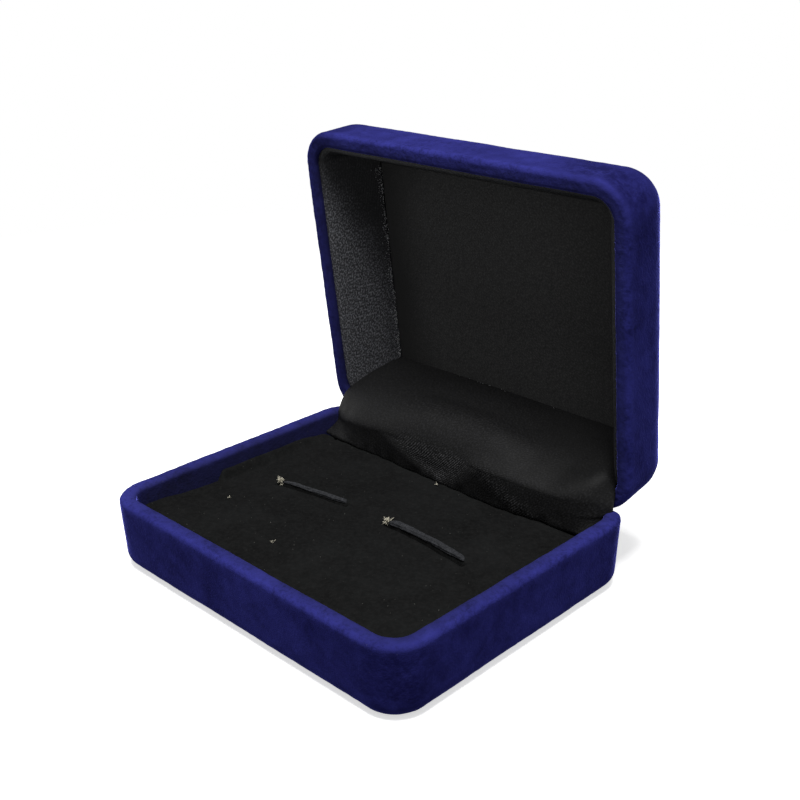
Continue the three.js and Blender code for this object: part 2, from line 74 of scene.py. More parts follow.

# Strokes over the pile: x, y, reach, and how far it is brushed up or down, partly the nap and partly
# painted light and shade: painted highlight on the base's near left rim corner and the middle of the
# lid's top, painted shade at the base's nearest corner and towards the ends of the lid's top. Their
# edges wander.
BASE_NAP_AND_LIGHT_STROKES = [
    (-39, -30, 7, 1.2), (0, -33, 16, 0.15), (38, -28, 8, -0.45), (40, -6, 9, -0.15), (40, 20, 10, 0.25)]
LID_NAP_AND_LIGHT_STROKES = [
    (39, -31, 5, -0.5), (-8, -33, 12, 0.8), (14, -33, 5, 0.3), (29, -33, 6, -0.7), (-35, -33, 6, -0.6),
    (-27, -33, 4, 0.3), (40, 0, 20, 0.1)]
STROKE_WANDER = 2.5
STROKE_CELL = 5

# Rebate in the base's back rim, and how far velvet and satin stand off the hinge line
REBATE_FRONT = 29.65
REBATE_FALL = 0.4
REBATE_BACK = 32.451
REBATE_Z = 13.265
REBATE_EDGE = 0.7
HINGE_HALF = 21
BARREL_COVER = 1.5
SPRING_COVER = 8.05

# Hinge line and the lid's place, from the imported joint
HINGE = next(joint for joint in frame["joints"] if joint["name"] == "lid_hinge")
PIVOT_Y = HINGE["pos_m"][1] / MM
PIVOT_Z = HINGE["pos_m"][2] / MM
OPEN = math.radians(HINGE["range_deg"][1])
LID_RIM_Z = -0.54

# Pad
PAD_SIDE = 36.4
PAD_FRONT = -28.9
PAD_BACK = 24.2
PAD_RADIUS = 3.9
PAD_DROP = 4.2
PAD_CROWN = 0.7
PAD_EDGE = 1.6
PAD_DRAWN_IN = 0.25
PAD_BOTTOM_Z = 3.7
PAD_TOP = BASE_HEIGHT - PAD_DROP + PAD_CROWN

# Where the pad turns up against the left wall: from and to which x and y, how high, less towards the back
# and lower along the front, and the crease beside it
TURN_UP_X = (-33.8, -35.9)
TURN_UP_Y = (-8.4, -6.6)
TURN_UP_FALL_Y = (0, 24)
TURN_UP_HEIGHT = 2.2
FRONT_LIFT_Y = (-14, -27)
FRONT_LIFT_HEIGHT = 1.3
CREASE_X = -33.9
CREASE_DEPTH = 0.45
CREASE_WIDTH = 0.5

# Slots in the pad, each with its rolled far lip
SLIT_WIDTH = 1.25
SLIT_DEPTH = 3.4
SLIT_OFFSET = 0.75
SHOULDER_HEIGHT = 0.16
SHOULDER_WIDTH = 0.7
LIP_SHORT = 1.2
SLOTS = {
    "left": {"x": -15.8, "y": 0.75, "length": 17.6, "turn": math.radians(9.5), "lip": 0.52, "taper": 0.2},
    "right": {"x": 14.2, "y": 1.8, "length": 21.0, "turn": math.radians(-2.4), "lip": 0.72, "taper": -0.15},
}

# Lining of the lid
SATIN = 0.3
PANEL_DEPTH = 11.1
PANEL_SIDE = 11
PANEL_FRONT = 8.3
PANEL_EDGE = 0.35
PANEL_CROWN = 0.3
LINING_TOP = 0.7
LINING_REVEAL = 0.6
LINING_RUN = 6.97
SEAM_INSET = PANEL_SIDE - 0.3

# Curtain over the hinge, from its left end to its right: height of the roll's ridge and how far the ends
# stand back, then where its foot lies on the pad. A ridge that stands back is lower by the line of sight,
# and the slope leaves the panel at its own fall. Then the size of the grid.
CURTAIN_HALF = 36.6
RIDGE_X = [-36.6, -33.5, -31, -28, -22, -12, -4, 2, 8, 15, 24, 31, 33.5, 35, 36.6]
RIDGE_Z = [15.8, 15.9, 16.0, 16.1, 16.3, 16.7, 16.6, 17.0, 17.2, 17.1, 16.9, 17.1, 17.4, 17.7, 18.0]
END_SETBACK = [4.2, 2.9, 2.0, 1.1, 0.3, 0, 0, 0, 0, 0, 0, 0, 0.8, 2.1, 4.9]
FOOT_X = [-36.6, -33, -16.6, -0.8, 14.9, 28, 36.6]
FOOT_Y = [22.9, 22.6, 22.4, 22.1, 21.9, 23.3, 23.9]
RIDGE_SIGHT = math.radians(33)
SLOPE_FALL = math.radians(24)
CURTAIN_COLUMNS = 340
SLOPE_ROWS = 49
FRONT_ROWS = 33

# Lint on the pad and the size of each knot, and the creases that catch the light along the panel's seam
# with the curtain
LINT_SPOTS = [(-26.5, -12.4), (-6.3, -18.2), (0.1, 20.3), (-22.8, -1.6)]
LINT_SIZES = [0.16, 0.2, 0.1, 0.14]
SEAM_CREASES_X = [-11, -5, -1, 14]

# Primes that mix a lattice corner's three numbers, values in the noise's table, and how near points are,
# in metres, to be merged
LATTICE_PRIMES = (73856093, 19349663, 83492791)
LATTICE_VALUES = 8192
MERGE_DISTANCE = 1e-7

# Turns round a fibre of its three sides, and the length of a wave texture of scale 1, pi / 10 rounded
FIBRE_TURNS = (0, 2.094, 4.189)
WAVE_LENGTH = 0.31416


# Arrays and surfaces

def arc(centre, radius, start, end, spacing):
    """Points centre + radius (cos a, sin a) with a going evenly from start to end, without the last."""
    count = max(2, math.ceil(abs(end - start) * radius / spacing))
    angle = np.linspace(start, end, count, endpoint=False)
    return np.stack([centre[0] + radius * np.cos(angle), centre[1] + radius * np.sin(angle)], 1)


def line(start, end, spacing):
    """Points start + (end - start) t with t going evenly from 0 to 1, without the last."""
    count = max(1, math.ceil(math.dist(start, end) / spacing))
    share = np.linspace(0, 1, count, endpoint=False)[:, None]
    return np.asarray(start) * (1 - share) + np.asarray(end) * share


def smooth(low, high, value):
    """3t^2 - 2t^3, where t is the value's place between low and high, held to 0 and 1."""
    share = np.clip((value - low) / (high - low), 0, 1)
    return share * share * (3 - 2 * share)


def lattice_noise(points, cell, seed):
    """Smooth values from -1 to 1: random numbers on a cubic lattice, picked from a table by mixing three
    primes, and blended by 3t^2 - 2t^3 between the lattice's corners."""
    table = np.random.default_rng(seed).uniform(-1, 1, LATTICE_VALUES)
    scaled = points / cell
    corner = np.floor(scaled).astype(np.int64)
    share = scaled - corner
    share = share * share * (3 - 2 * share)
    total = np.zeros(points.shape[:-1])
    for step in np.ndindex(2, 2, 2):
        key = ((corner + step) * LATTICE_PRIMES).sum(-1)
        key ^= key >> 13
        weight = np.where(np.array(step, bool), share, 1 - share).prod(-1)
        total += weight * table[key % LATTICE_VALUES]
    return total


def waves(points, *rows):
    """Sum of lattice noises, each row giving height, cell and seed."""
    return sum(height * lattice_noise(points, cell, seed) for height, cell, seed in rows)


def grid_index(points):
    """Numbers of a grid's vertices, row by row."""
    return np.arange(points.shape[0] * points.shape[1]).reshape(points.shape[:2])


def grid_normals(points, wrap=False):
    """Unit cross product of the grid's two directions, columns by rows. Where columns meet in one point,
    as on a mitre, it is taken from the nearest column before, or at a row's start from the first that has
    one."""
    padded = np.concatenate([points[:, -1:], points, points[:, :1]], 1) if wrap else points
    along = np.gradient(padded, axis=1)
    along = along[:, 1:-1] if wrap else along
    down = np.gradient(points, axis=0)
    normal = np.cross(along, down)
    size = np.linalg.norm(normal, axis=-1)
    known = size > 1e-6
    column = np.where(known, np.arange(size.shape[1]), np.argmax(known, axis=1)[:, None])
    column = np.maximum.accumulate(column, axis=1)
    return np.take_along_axis(normal / np.maximum(size, 1e-9)[..., None], column[..., None], axis=1)


def outline_columns(plan, spacing):
    """Places round a rounded rectangle, anticlockwise from the right side. Each lies a share t from the
    end of one corner's arc towards the start of the next; on an arc both are the same corner. Angle is
    the outward direction."""
    corner_x = np.array([1, -1, -1, 1])
    corner_y = np.array([1, 1, -1, -1])
    turns = max(4, math.ceil(math.pi / 2 * plan["radius"] / spacing))
    parts = []
    for corner in range(4):
        bend = np.linspace(corner, corner + 1, turns + 1) * math.pi / 2
        half = plan["half_width"] if corner % 2 == 0 else plan["half_depth"]
        steps = math.ceil(2 * (half - plan["radius"]) / spacing)
        between = np.linspace(0, 1, steps + 1)[1:-1]
        parts.append(np.broadcast_arrays(corner, corner, bend, 0))
        parts.append(np.broadcast_arrays(corner, (corner + 1) % 4, bend[-1], between))
    first, second, angle, share = np.concatenate(parts, axis=1)
    first, second = first.astype(int), second.astype(int)
    side_x = (1 - share) * corner_x[first] + share * corner_x[second]
    side_y = (1 - share) * corner_y[first] + share * corner_y[second]
    return side_x, side_y, angle


def sweep(plan, columns, insets, heights):
    """A profile of insets and heights carried round a rounded rectangle: each place is the corner's arm
    plus what is left of the corner radius in the outward direction."""
    side_x, side_y, angle = columns
    inset = np.asarray(insets)[:, None]
    radius = np.maximum(plan["radius"] - inset, 0)
    x = side_x * (plan["half_width"] - inset - radius) + radius * np.cos(angle)
    y = side_y * (plan["half_depth"] - inset - radius) + radius * np.sin(angle) + plan["centre_y"]
    z = np.broadcast_to(np.asarray(heights)[:, None], x.shape)
    return np.stack([x, y, z], -1)


def opened(points):
    """Places of the closed lid, seen from the pivot, turned by the open angle about X and moved to the
    pivot."""
    y, z = points[..., 1], points[..., 2]
    return np.stack([
        points[..., 0],
        y * math.cos(OPEN) + z * math.sin(OPEN) + PIVOT_Y,
        z * math.cos(OPEN) - y * math.sin(OPEN) + PIVOT_Z], -1)


def quads(index, wrap):
    """Four corners of every cell of a grid of vertex numbers; wrap joins the last column to the first."""
    right = np.roll(index, -1, 1) if wrap else index[:, 1:]
    left = index if wrap else index[:, :-1]
    return np.stack([left[:-1], right[:-1], right[1:], left[1:]], -1).reshape(-1, 4)


def make_piece(name, points, faces, corner_uv=None, values=None):
    """Puts places in mm and faces into one mesh with smooth faces, merges doubles at seams and poles, and
    turns the faces outwards by the sign of the volume, which is the sum of a . (b x c) over the faces."""
    mesh = bpy.data.meshes.new(name)
    mesh.from_pydata((points.reshape(-1, 3) * MM).tolist(), [], faces.tolist())
    if corner_uv is not None:
        layer = mesh.uv_layers.new(name="cloth")
        layer.uv.foreach_set("vector", (corner_uv.reshape(-1) * MM).astype(np.float32))
    for label, value in (values or {}).items():
        attribute = mesh.attributes.new(label, "FLOAT", "POINT")
        attribute.data.foreach_set("value", value.reshape(-1).astype(np.float32))
    work = bmesh.new()
    work.from_mesh(mesh)
    bmesh.ops.remove_doubles(work, verts=work.verts, dist=MERGE_DISTANCE)
    if work.calc_volume(signed=True) < 0:
        bmesh.ops.reverse_faces(work, faces=work.faces)
    work.to_mesh(mesh)
    work.free()
    mesh.shade_smooth()
    piece = bpy.data.objects.new(name, mesh)
    bpy.context.scene.collection.objects.link(piece)
    return piece


def make_cloth(name, front, widths, lengths, values=None):
    """A closed thin solid: the front grid, the same grid moved back by the satin's thickness along its
    normals, and four edge strips between them. Its UV map holds the flat cloth's own places, widths by
    columns and lengths by rows."""
    rows, columns = front.shape[:2]
    back = front - SATIN * grid_normals(front)
    index = grid_index(front)
    behind = index + rows * columns
    faces = [quads(index, False), quads(behind, False)[:, ::-1]]
    for edge, shadow in ((index[0], behind[0]), (index[:, -1], behind[:, -1]),
                         (index[-1, ::-1], behind[-1, ::-1]), (index[::-1, 0], behind[::-1, 0])):
        faces.append(np.stack([edge[1:], edge[:-1], shadow[:-1], shadow[1:]], -1))
    faces = np.concatenate(faces)
    flat = np.stack(np.broadcast_arrays(widths, lengths[:, None]), -1)
    flat = np.concatenate([flat.reshape(-1, 2)] * 2)
    doubled = {label: np.concatenate([value.reshape(-1)] * 2) for label, value in (values or {}).items()}
    points = np.concatenate([front.reshape(-1, 3), back.reshape(-1, 3)])
    return make_piece(name, points, faces, flat[faces], doubled)


def run_lengths(points, axis):
    """How far along the cloth each grid line lies, from the mean distance between neighbours."""
    step = np.linalg.norm(np.diff(points, axis=axis), axis=-1).mean(1 - axis)
    return np.concatenate([[0], np.cumsum(step)])


# Blue velvet over the two tubs

BOX_PLAN = {
    "half_width": BOX_WIDTH / 2, "half_depth": BOX_DEPTH / 2, "radius": CORNER_RADIUS, "centre_y": 0}
MIDDLE = BOX_DEPTH / 2


def wall_inset(depth, cover):
    """Inset of a drafted wall at a depth under the rim, under outer layers of a thickness."""
    return SLOPE * depth + cover / math.cos(DRAFT)


def wall_place(depth, cover):
    """Inset of that place, with its depth."""
    return wall_inset(depth, cover), depth


def tub_profile(tub):
    """Closed section of a velvet cover: floor, bottom edge, wall, rounded rim, turned-in flap, and back
    inside. Gives insets and depths, how far the pile spreads over the bends, how far it is pressed down,
    and which rows are the hidden inner skin. Spread lightens the bends and the rim, partly pile that fans
    out and partly painted light on the rim's lit top; pressed greys the rim's rubbed flat, which is wear,
    and the inner wall under the rim, which is painted shade. The last number in each line or arc is the
    distance between its points, and spread and pressed fade over five points either way by a Gaussian."""
    height, edge, rim, flap = tub["height"], tub["edge"], tub["rim"], tub["flap"]
    turn = height - edge
    bend = wall_place(turn, edge)
    outer = wall_place(RIM_OUTER_RADIUS, RIM_OUTER_RADIUS)
    inner = wall_place(RIM_INNER_RADIUS, rim - RIM_INNER_RADIUS)
    flap_end = wall_place(flap, rim)
    under_flap = wall_place(flap, rim - VELVET)
    under_rim = wall_place(VELVET, rim - VELVET)
    inner_top = wall_place(VELVET, VELVET)
    upright, level = math.pi - DRAFT, 1.5 * math.pi
    parts = [
        (line((MIDDLE, height), (bend[0], height), 1.6), 0, 0, 0),
        # Spread: partly painted light on the lit rim. Pressed: wear on the rim's flat, painted shade on the
        # inner wall
        (arc(bend, edge, math.pi / 2, upright, 0.4), 0.3, 0, 0),
        (line(wall_place(turn, 0), wall_place(RIM_OUTER_RADIUS, 0), 0.4), 0, 0, 0),
        (arc(outer, RIM_OUTER_RADIUS, upright, level, 0.2), 1, 0.1, 0),
        (line((outer[0], 0), (inner[0], 0), 0.25), tub["fanned_and_lit"], tub["rubbed"], 0),
        (arc(inner, RIM_INNER_RADIUS, level, upright + math.pi, 0.2), 0.6, 0.6, 0),
        (line(wall_place(RIM_INNER_RADIUS, rim), flap_end, 0.4), 0, 1, 0),
        (line(flap_end, under_flap, 0.6), 0, 1, 1),
        (line(under_flap, under_rim, 2), 0, 0, 1),
        (line(under_rim, inner_top, 1), 0, 0, 1),
        (line(inner_top, wall_place(turn, VELVET), 3), 0, 0, 1),
        (arc(bend, edge - VELVET, upright, math.pi / 2, 1.5), 0, 0, 1),
        (line((bend[0], height - VELVET), (MIDDLE, height - VELVET), 6), 0, 0, 1),
        (np.array([[MIDDLE, height - VELVET]]), 0, 0, 1),
    ]
    points = np.concatenate([part[0] for part in parts])
    rows = np.repeat([part[1:] for part in parts], [len(part[0]) for part in parts], axis=0)
    spread, pressed, hidden = rows.T
    fade = np.exp(-np.linspace(-2, 2, 11) ** 2)
    fade /= fade.sum()
    return points, np.convolve(spread, fade, "same"), np.convolve(pressed, fade, "same"), hidden > 0


def roughened(points, normals, spread, hidden, seed):
    """Moves the seen skin along its normals by waves of three lengths, from slow swells to tufts. The
    shorter two are higher where the pile spreads, and the hidden skin isn't moved."""
    rows = [(height + added * spread[:, None], length, seed + step)
            for step, (length, height, added) in enumerate(VELVET_WAVES)]
    return points + normals * (waves(points, *rows) * ~hidden[:, None])[..., None]


def velvet_cover(name, tub, seed, place, strokes):
    """The cover's section swept round the box's outline, roughened, and put in place. A row shares one
    spread value and one pressed value; each stroke then brushes the pile up or down by a Gaussian about
    its place; some strokes are painted light and some painted shade."""
    profile, spread, pressed, hidden = tub_profile(tub)
    columns = outline_columns(BOX_PLAN, 0.42)
    direction = 1 if tub is LID_TUB else -1
    points = sweep(BOX_PLAN, columns, profile[:, 0], direction * profile[:, 1])
    normals = grid_normals(points, wrap=True) * direction
    wander = [lattice_noise(points, STROKE_CELL, seed + shift) for shift in (3, 4, 5)]
    flat = points + STROKE_WANDER * np.stack(wander, -1)
    points = place(roughened(points, normals, spread, hidden, seed), hidden)
    index = grid_index(points)
    spread = np.broadcast_to(spread[:, None], index.shape)
    for x, y, reach, amount in strokes:
        away = (flat[..., 0] - x) ** 2 + (flat[..., 1] - y) ** 2
        spread = spread + amount * np.exp(-away / reach ** 2)
    values = {"spread": spread, "pressed": np.broadcast_to(pressed[:, None], index.shape)}
    return make_piece(name, points, quads(index, True), values=values)


def base_place(points, hidden):
    """Lifts the tub onto its underside and lowers what lies behind the rebate's front to the rebate's
    height, whose outer edge is a quarter circle. The underside stands flat on the floor."""
    points = points + (0, 0, BASE_HEIGHT)
    edge = np.clip((points[..., 1] - REBATE_BACK) / REBATE_EDGE + 1, 0, 1)
    limit = REBATE_Z - VELVET * hidden[:, None] + 0.03 * lattice_noise(points, 1.5, 5)
    limit = limit - REBATE_EDGE * (1 - np.sqrt(1 - edge ** 2))
    behind = smooth(REBATE_FRONT, REBATE_FRONT + REBATE_FALL, points[..., 1])
    lowered = np.minimum(points[..., 2], limit)
    points[..., 2] = np.maximum(points[..., 2] * (1 - behind) + lowered * behind, 0)
    return points


def lid_place(points, hidden):
    """Moves the closed lid's section behind the pivot, pushes the rear half of the rim out round the
    hinge's barrel to a circle about the pivot, fading in over about half a millimetre, and opens it."""
    points = points + (0, -PIVOT_Y, LID_RIM_Z)
    x, y, z = np.moveaxis(points, -1, 0)
    grown = np.maximum(BARREL_COVER / np.maximum(np.hypot(y, z), 0.1), 1) - 1
    over = smooth(-0.3, 0.3, y) * smooth(0, -0.4, z) * smooth(HINGE_HALF + 0.6, HINGE_HALF, np.abs(x))
    points[..., 1:] *= (1 + grown * over)[..., None]
    return opened(points)


base_velvet = velvet_cover("base_velvet", BASE_TUB, 11, base_place, BASE_NAP_AND_LIGHT_STROKES)
lid_velvet = velvet_cover("lid_velvet", LID_TUB, 23, lid_place, LID_NAP_AND_LIGHT_STROKES)
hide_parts("base_velvet_cover")
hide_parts("lid_velvet_cover")


# Black velvet pad

def slot_bend(slot, along):
    """How far the cut strays sideways along its length: one slow wave of 0.16 mm and a quicker one of
    0.07 mm."""
    return 0.16 * np.sin(along * 0.31 + slot["x"]) + 0.07 * np.sin(along * 0.9)


def slot_frame(slot, x, y):
    """Places along and across a slot: the offset from its middle turned back by its angle."""
    away_x, away_y = x - slot["x"], y - slot["y"]
    along = away_x * math.cos(slot["turn"]) + away_y * math.sin(slot["turn"])
    across = away_y * math.cos(slot["turn"]) - away_x * math.sin(slot["turn"])
    return along, across


def slot_place(slot, along, across):
    """The opposite of slot_frame: x and y of a place along and across a slot."""
    x = slot["x"] + along * math.cos(slot["turn"]) - across * math.sin(slot["turn"])
    y = slot["y"] + along * math.sin(slot["turn"]) + across * math.cos(slot["turn"])
    return x, y


def pad_top(points):
    """Height added to the pad's top: turned up against the left wall behind the middle, low along the
    front, gently uneven, with a crease where it turns up, and let down into each slot beside its rolled
    lip."""
    x, y = points[..., 0], points[..., 1]
    flat = np.stack([x, y, 0 * x], -1)
    wall = smooth(*TURN_UP_X, x)
    behind = smooth(*TURN_UP_Y, y)
    lift = TURN_UP_HEIGHT * wall ** 1.3 * behind * (1 - 0.5 * smooth(*TURN_UP_FALL_Y, y))
    lift = lift + FRONT_LIFT_HEIGHT * wall * smooth(*FRONT_LIFT_Y, y)
    crease = CREASE_DEPTH * behind * np.exp(-((x - CREASE_X - 0.05 * y) / CREASE_WIDTH) ** 2)
    rise = lift - crease + waves(flat, (0.12, 7, 31), (0.07, 2.2, 32), (0.03, 0.8, 34))
    rise = rise + 0.4 * lattice_noise(flat, 4, 33) * smooth(3.5, 0.5, PAD_SIDE - np.abs(x))
    for slot in SLOTS.values():
        along, across = slot_frame(slot, x, y)
        inside = smooth(slot["length"] / 2 + 0.6, slot["length"] / 2 - 0.6, np.abs(along))
        bent = across - slot_bend(slot, along) + SLIT_OFFSET
        slit = np.exp(-(bent / (0.5 * SLIT_WIDTH)) ** 4)
        shoulder = SHOULDER_HEIGHT * np.exp(-((bent + 1.0) / SHOULDER_WIDTH) ** 2)
        rise = rise + inside * (shoulder * (1 - slit) - SLIT_DEPTH * slit)
    return rise


def pad_surface():
    """Section of the pad from the middle of its crowned top (a parabola), round its edge, down its
    drawn-in sides (a half sine wave) and back under it, swept round its outline, with the top's heights
    added."""
    half_depth = (PAD_BACK - PAD_FRONT) / 2
    plan = {"half_width": PAD_SIDE, "half_depth": half_depth, "radius": PAD_RADIUS,
            "centre_y": (PAD_BACK + PAD_FRONT) / 2}
    edge = wall_inset(PAD_DROP + PAD_EDGE, PAD_EDGE) - 0.12
    bottom = BASE_HEIGHT - PAD_BOTTOM_Z
    top = line((half_depth, PAD_DROP), (edge, PAD_DROP), 0.25)
    share = (top[:, 0] - edge) / (half_depth - edge)
    top[:, 1] -= PAD_CROWN * (1 - (1 - share) ** 2)
    bend = arc((edge, PAD_DROP + PAD_EDGE), PAD_EDGE, 1.5 * math.pi, math.pi - DRAFT, 0.25)
    side = line((bend[-1, 0], bend[-1, 1] + 0.2), (SLOPE * bottom, bottom), 0.5)
    side[:, 0] += PAD_DRAWN_IN * np.sin(np.linspace(0, math.pi, len(side)))
    under = line((SLOPE * bottom, bottom), (half_depth, bottom), 3)
    profile = np.concatenate([top, bend, side, under, [[half_depth, bottom]]])
    points = sweep(plan, outline_columns(plan, 0.45), profile[:, 0], BASE_HEIGHT - profile[:, 1])
    rows = np.arange(len(profile))
    share_top = smooth(len(top) + len(bend) + 0.6 * len(side), len(top) + 0.5 * len(bend), rows)[:, None]
    points[..., 2] += pad_top(points) * share_top
    return points


pad_points = pad_surface()
pad = make_piece("pad", pad_points, quads(grid_index(pad_points), True))
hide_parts("pad_velvet", "pad_foam")


def slot_lip(name, slot, seed):
    """Rolled far edge of a slot: a round section carried along the slot, thicker towards one end and
    closing at both, twisted so that its long furrows run slowly round it where the pile is pressed
    flat."""
    length = slot["length"] - LIP_SHORT
    along = np.sin(np.linspace(-math.pi / 2, math.pi / 2, 180))[:, None] * length / 2
    angle = np.linspace(0, 2 * math.pi, 36, endpoint=False)[None]
    end = np.sqrt(np.clip(1 - (2 * along / length) ** 12, 0, 1))
    size = slot["lip"] * (1 + slot["taper"] * 2 * along / length) * end
    furrow = 1 + 0.09 * np.sin(angle * 7 + 0.35 * along) + 0.05 * np.sin(angle * 4 - 0.5 * along + seed)
    skin = np.stack(np.broadcast_arrays(along, np.cos(angle), np.sin(angle)), -1)
    lump = 1 + 0.12 * lattice_noise(skin, 0.9, 81 + seed)
    across = 0.1 + size * 0.75 + slot_bend(slot, along) + size * furrow * lump * np.cos(angle)
    height = PAD_TOP - 0.3 + 0.25 * size + 0.8 * size * furrow * lump * np.sin(angle)
    points = np.stack([*slot_place(slot, along, across), height], -1)
    ends = [np.broadcast_to(row.mean(1, keepdims=True), row.shape) for row in (points[:1], points[-1:])]
    points = np.concatenate([ends[0], points, ends[1]])
    return make_piece(name, points, quads(grid_index(points), True))


lips = [slot_lip(f"slot_lip_{side}", slot, seed) for seed, (side, slot) in enumerate(SLOTS.items())]


# Satin in the lid, drawn in the closed lid and seen from the pivot

def panel_surface():
    """Flat padded panel: a low crown, falling off at the edges as a quarter circle. Its grid is closer
    towards the edges, by a share of a sine."""
    half_x = BOX_WIDTH / 2 - PANEL_SIDE
    front_y, back_y = -BOX_DEPTH / 2 + PANEL_FRONT, BOX_DEPTH / 2 - PANEL_SIDE
    share_x = np.linspace(-1, 1, 240)
    share_y = np.linspace(-1, 1, 180)
    grid_x, grid_y = np.meshgrid(np.sin(share_x * math.pi / 2) * 0.4 + share_x * 0.6,
                                 np.sin(share_y * math.pi / 2) * 0.4 + share_y * 0.6)
    x = grid_x * half_x
    y = grid_y * (back_y - front_y) / 2 + (back_y + front_y) / 2 - PIVOT_Y
    edge_x = np.clip((np.abs(x) - half_x + PANEL_EDGE) / PANEL_EDGE, 0, 1)
    edge_y = np.clip((np.abs(grid_y) - 1) * (back_y - front_y) / 2 / PANEL_EDGE + 1, 0, 1)
    fall = PANEL_EDGE * (2 - np.sqrt(1 - 0.98 * edge_x ** 2) - np.sqrt(1 - 0.98 * edge_y ** 2))
    crown = PANEL_CROWN * (1 - grid_x ** 4) * (1 - grid_y ** 4)
    flat = np.stack([x, y, 0 * x], -1)
    depth = PANEL_DEPTH - crown + np.minimum(fall, PANEL_EDGE) + waves(flat, (0.05, 12, 41), (0.02, 3, 42))
    return np.stack([x, y, LID_RIM_Z + depth], -1)


def panel_painted_shade(points):
    """Painted shade on the panel, carried as its weave's openness: darker in the shade beside the left
    side, a little darker at the right."""
    x = points[..., 0]
    # Painted shade beside the left side, and a little painted shade towards the right
    shade = smooth(-27, -15, x - 3 * lattice_noise(points, 9, 43))
    return (0.12 + 0.88 * shade) * (1 - 0.3 * smooth(12, 28, x))


panel_points = panel_surface()
panel_widths, panel_lengths = run_lengths(panel_points, 1), run_lengths(panel_points, 0)
lid_panel = make_cloth(
    "lid_panel", opened(panel_points)[::-1], panel_widths, panel_lengths,
    {"drawn": np.full(panel_points.shape[:2], 0.12), "open": panel_painted_shade(panel_points[::-1])})
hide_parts("lid_panel_satin")


def lining_inset(depth):
    """Inset of the side lining at a depth under the lid's rim: a straight slope from the rim to the
    panel."""
    start = wall_inset(LINING_TOP, LID_TUB["rim"]) + LINING_REVEAL
    share = (depth - LINING_TOP) / (PANEL_DEPTH - LINING_TOP)
    return start + (SEAM_INSET - start) * share


def lining_profile():
    """Section of the side lining: it rolls out from under the flap's edge by an exponential curve, then
    follows the slope with a slight hollow."""
    share = np.linspace(0, 1, 60) ** 1.3
    depth = LINING_TOP + (PANEL_DEPTH + 0.2 - LINING_TOP) * share
    inset = lining_inset(depth)
    tucked = np.exp(-share / 0.05)
    inset = inset + (wall_inset(LID_TUB["flap"], LID_TUB["rim"]) - 0.05 - inset[0]) * tucked
    depth = depth + (LID_TUB["flap"] + 0.06 - depth[0]) * tucked + 0.15 * np.sin(share * math.pi)
    return share, inset, depth


def side_lining_surface():
    """Sloping band on three sides, from under the rim's turned-in velvet to the panel, cut round behind
    to fit the lid's rounded corners, with the front's inset drawn in less."""
    plan = {"half_width": BOX_WIDTH / 2, "half_depth": (BOX_DEPTH + PANEL_SIDE) / 2,
            "radius": CORNER_RADIUS, "centre_y": PANEL_SIDE / 2 - PIVOT_Y}
    side_x, side_y, angle = outline_columns(plan, 0.4)
    keep = np.flatnonzero((angle >= math.pi - 1e-9) & (angle <= 2 * math.pi + 1e-9))
    share, inset, depth = lining_profile()
    points = sweep(plan, (side_x[keep], side_y[keep], angle[keep]), inset, LID_RIM_Z + depth)
    points[..., 1] -= ((PANEL_SIDE - PANEL_FRONT) * share)[:, None]
    corner_x, corner_y = BOX_WIDTH / 2 - CORNER_RADIUS, BOX_DEPTH / 2 - CORNER_RADIUS
    reach = CORNER_RADIUS - LID_TUB["rim"] - 0.3
    round_part = np.clip(np.abs(points[..., 0]) - corner_x, 0, reach)
    back = corner_y + 0.9 * np.sqrt(reach ** 2 - round_part ** 2) - PIVOT_Y
    last = np.abs(points[..., 1] - points[..., 1].max()) < 1e-6
    points[..., 1] = np.where(last, back, np.minimum(points[..., 1], back))
    ripple = waves(points, (0.06, 4, 51), (0.04, 1.3, 52))
    points[..., 2] += ripple * np.sin(share * math.pi)[:, None] ** 0.5
    return points


def lining_painted_shade(points):
    """Painted shade on the lining, carried as its weave's openness: a slanting painted shadow under the
    lid's front, darker on the right side, and a little darker beside the panel."""
    depth = points[..., 2] - LID_RIM_Z
    down = points[..., 1] + PIVOT_Y + BOX_DEPTH / 2 - LID_TUB["rim"]
    # Painted shadow of the lid's front, reaching further down towards the panel
    shade = smooth(-4, 15, down - 2.1 * depth + 2 * lattice_noise(points, 4, 53))
    weave = (0.08 + 0.92 * shade) * (1 - 0.3 * smooth(8, 10.8, depth))
    return weave * (1 - 0.8 * smooth(15, 30, points[..., 0]))


lining_points = side_lining_surface()
lining_widths, lining_lengths = run_lengths(lining_points, 1), run_lengths(lining_points, 0)
side_lining = make_cloth(
    "side_lining", opened(lining_points), lining_widths, lining_lengths,
    {"drawn": np.full(lining_points.shape[:2], 0.3), "open": lining_painted_shade(lining_points)})
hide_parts("lid_side_lining_satin")


# Satin curtain over the hinge

def through(x, knots, values):
    """Cubic Hermite curve through values at knots, with the mean slope of the neighbours at each knot."""
    knots, values = np.asarray(knots, float), np.asarray(values, float)
    slope = np.gradient(values, knots)
    step = np.clip(np.searchsorted(knots, x) - 1, 0, len(knots) - 2)
    width = knots[step + 1] - knots[step]
    t = np.clip((x - knots[step]) / width, 0, 1)
    near = (1 + 2 * t) * (1 - t) ** 2 * values[step] + t * (1 - t) ** 2 * width * slope[step]
    return near + t * t * (3 - 2 * t) * values[step + 1] + t * t * (t - 1) * width * slope[step + 1]


def bezier(controls, share):
    """Cubic curve through the first and last control, drawn towards the two between; one curve per
    column."""
    share = share[:, None, None]
    weights = [(1 - share) ** 3, 3 * share * (1 - share) ** 2, 3 * share ** 2 * (1 - share), share ** 3]
    return sum(weight * control for weight, control in zip(weights, controls))


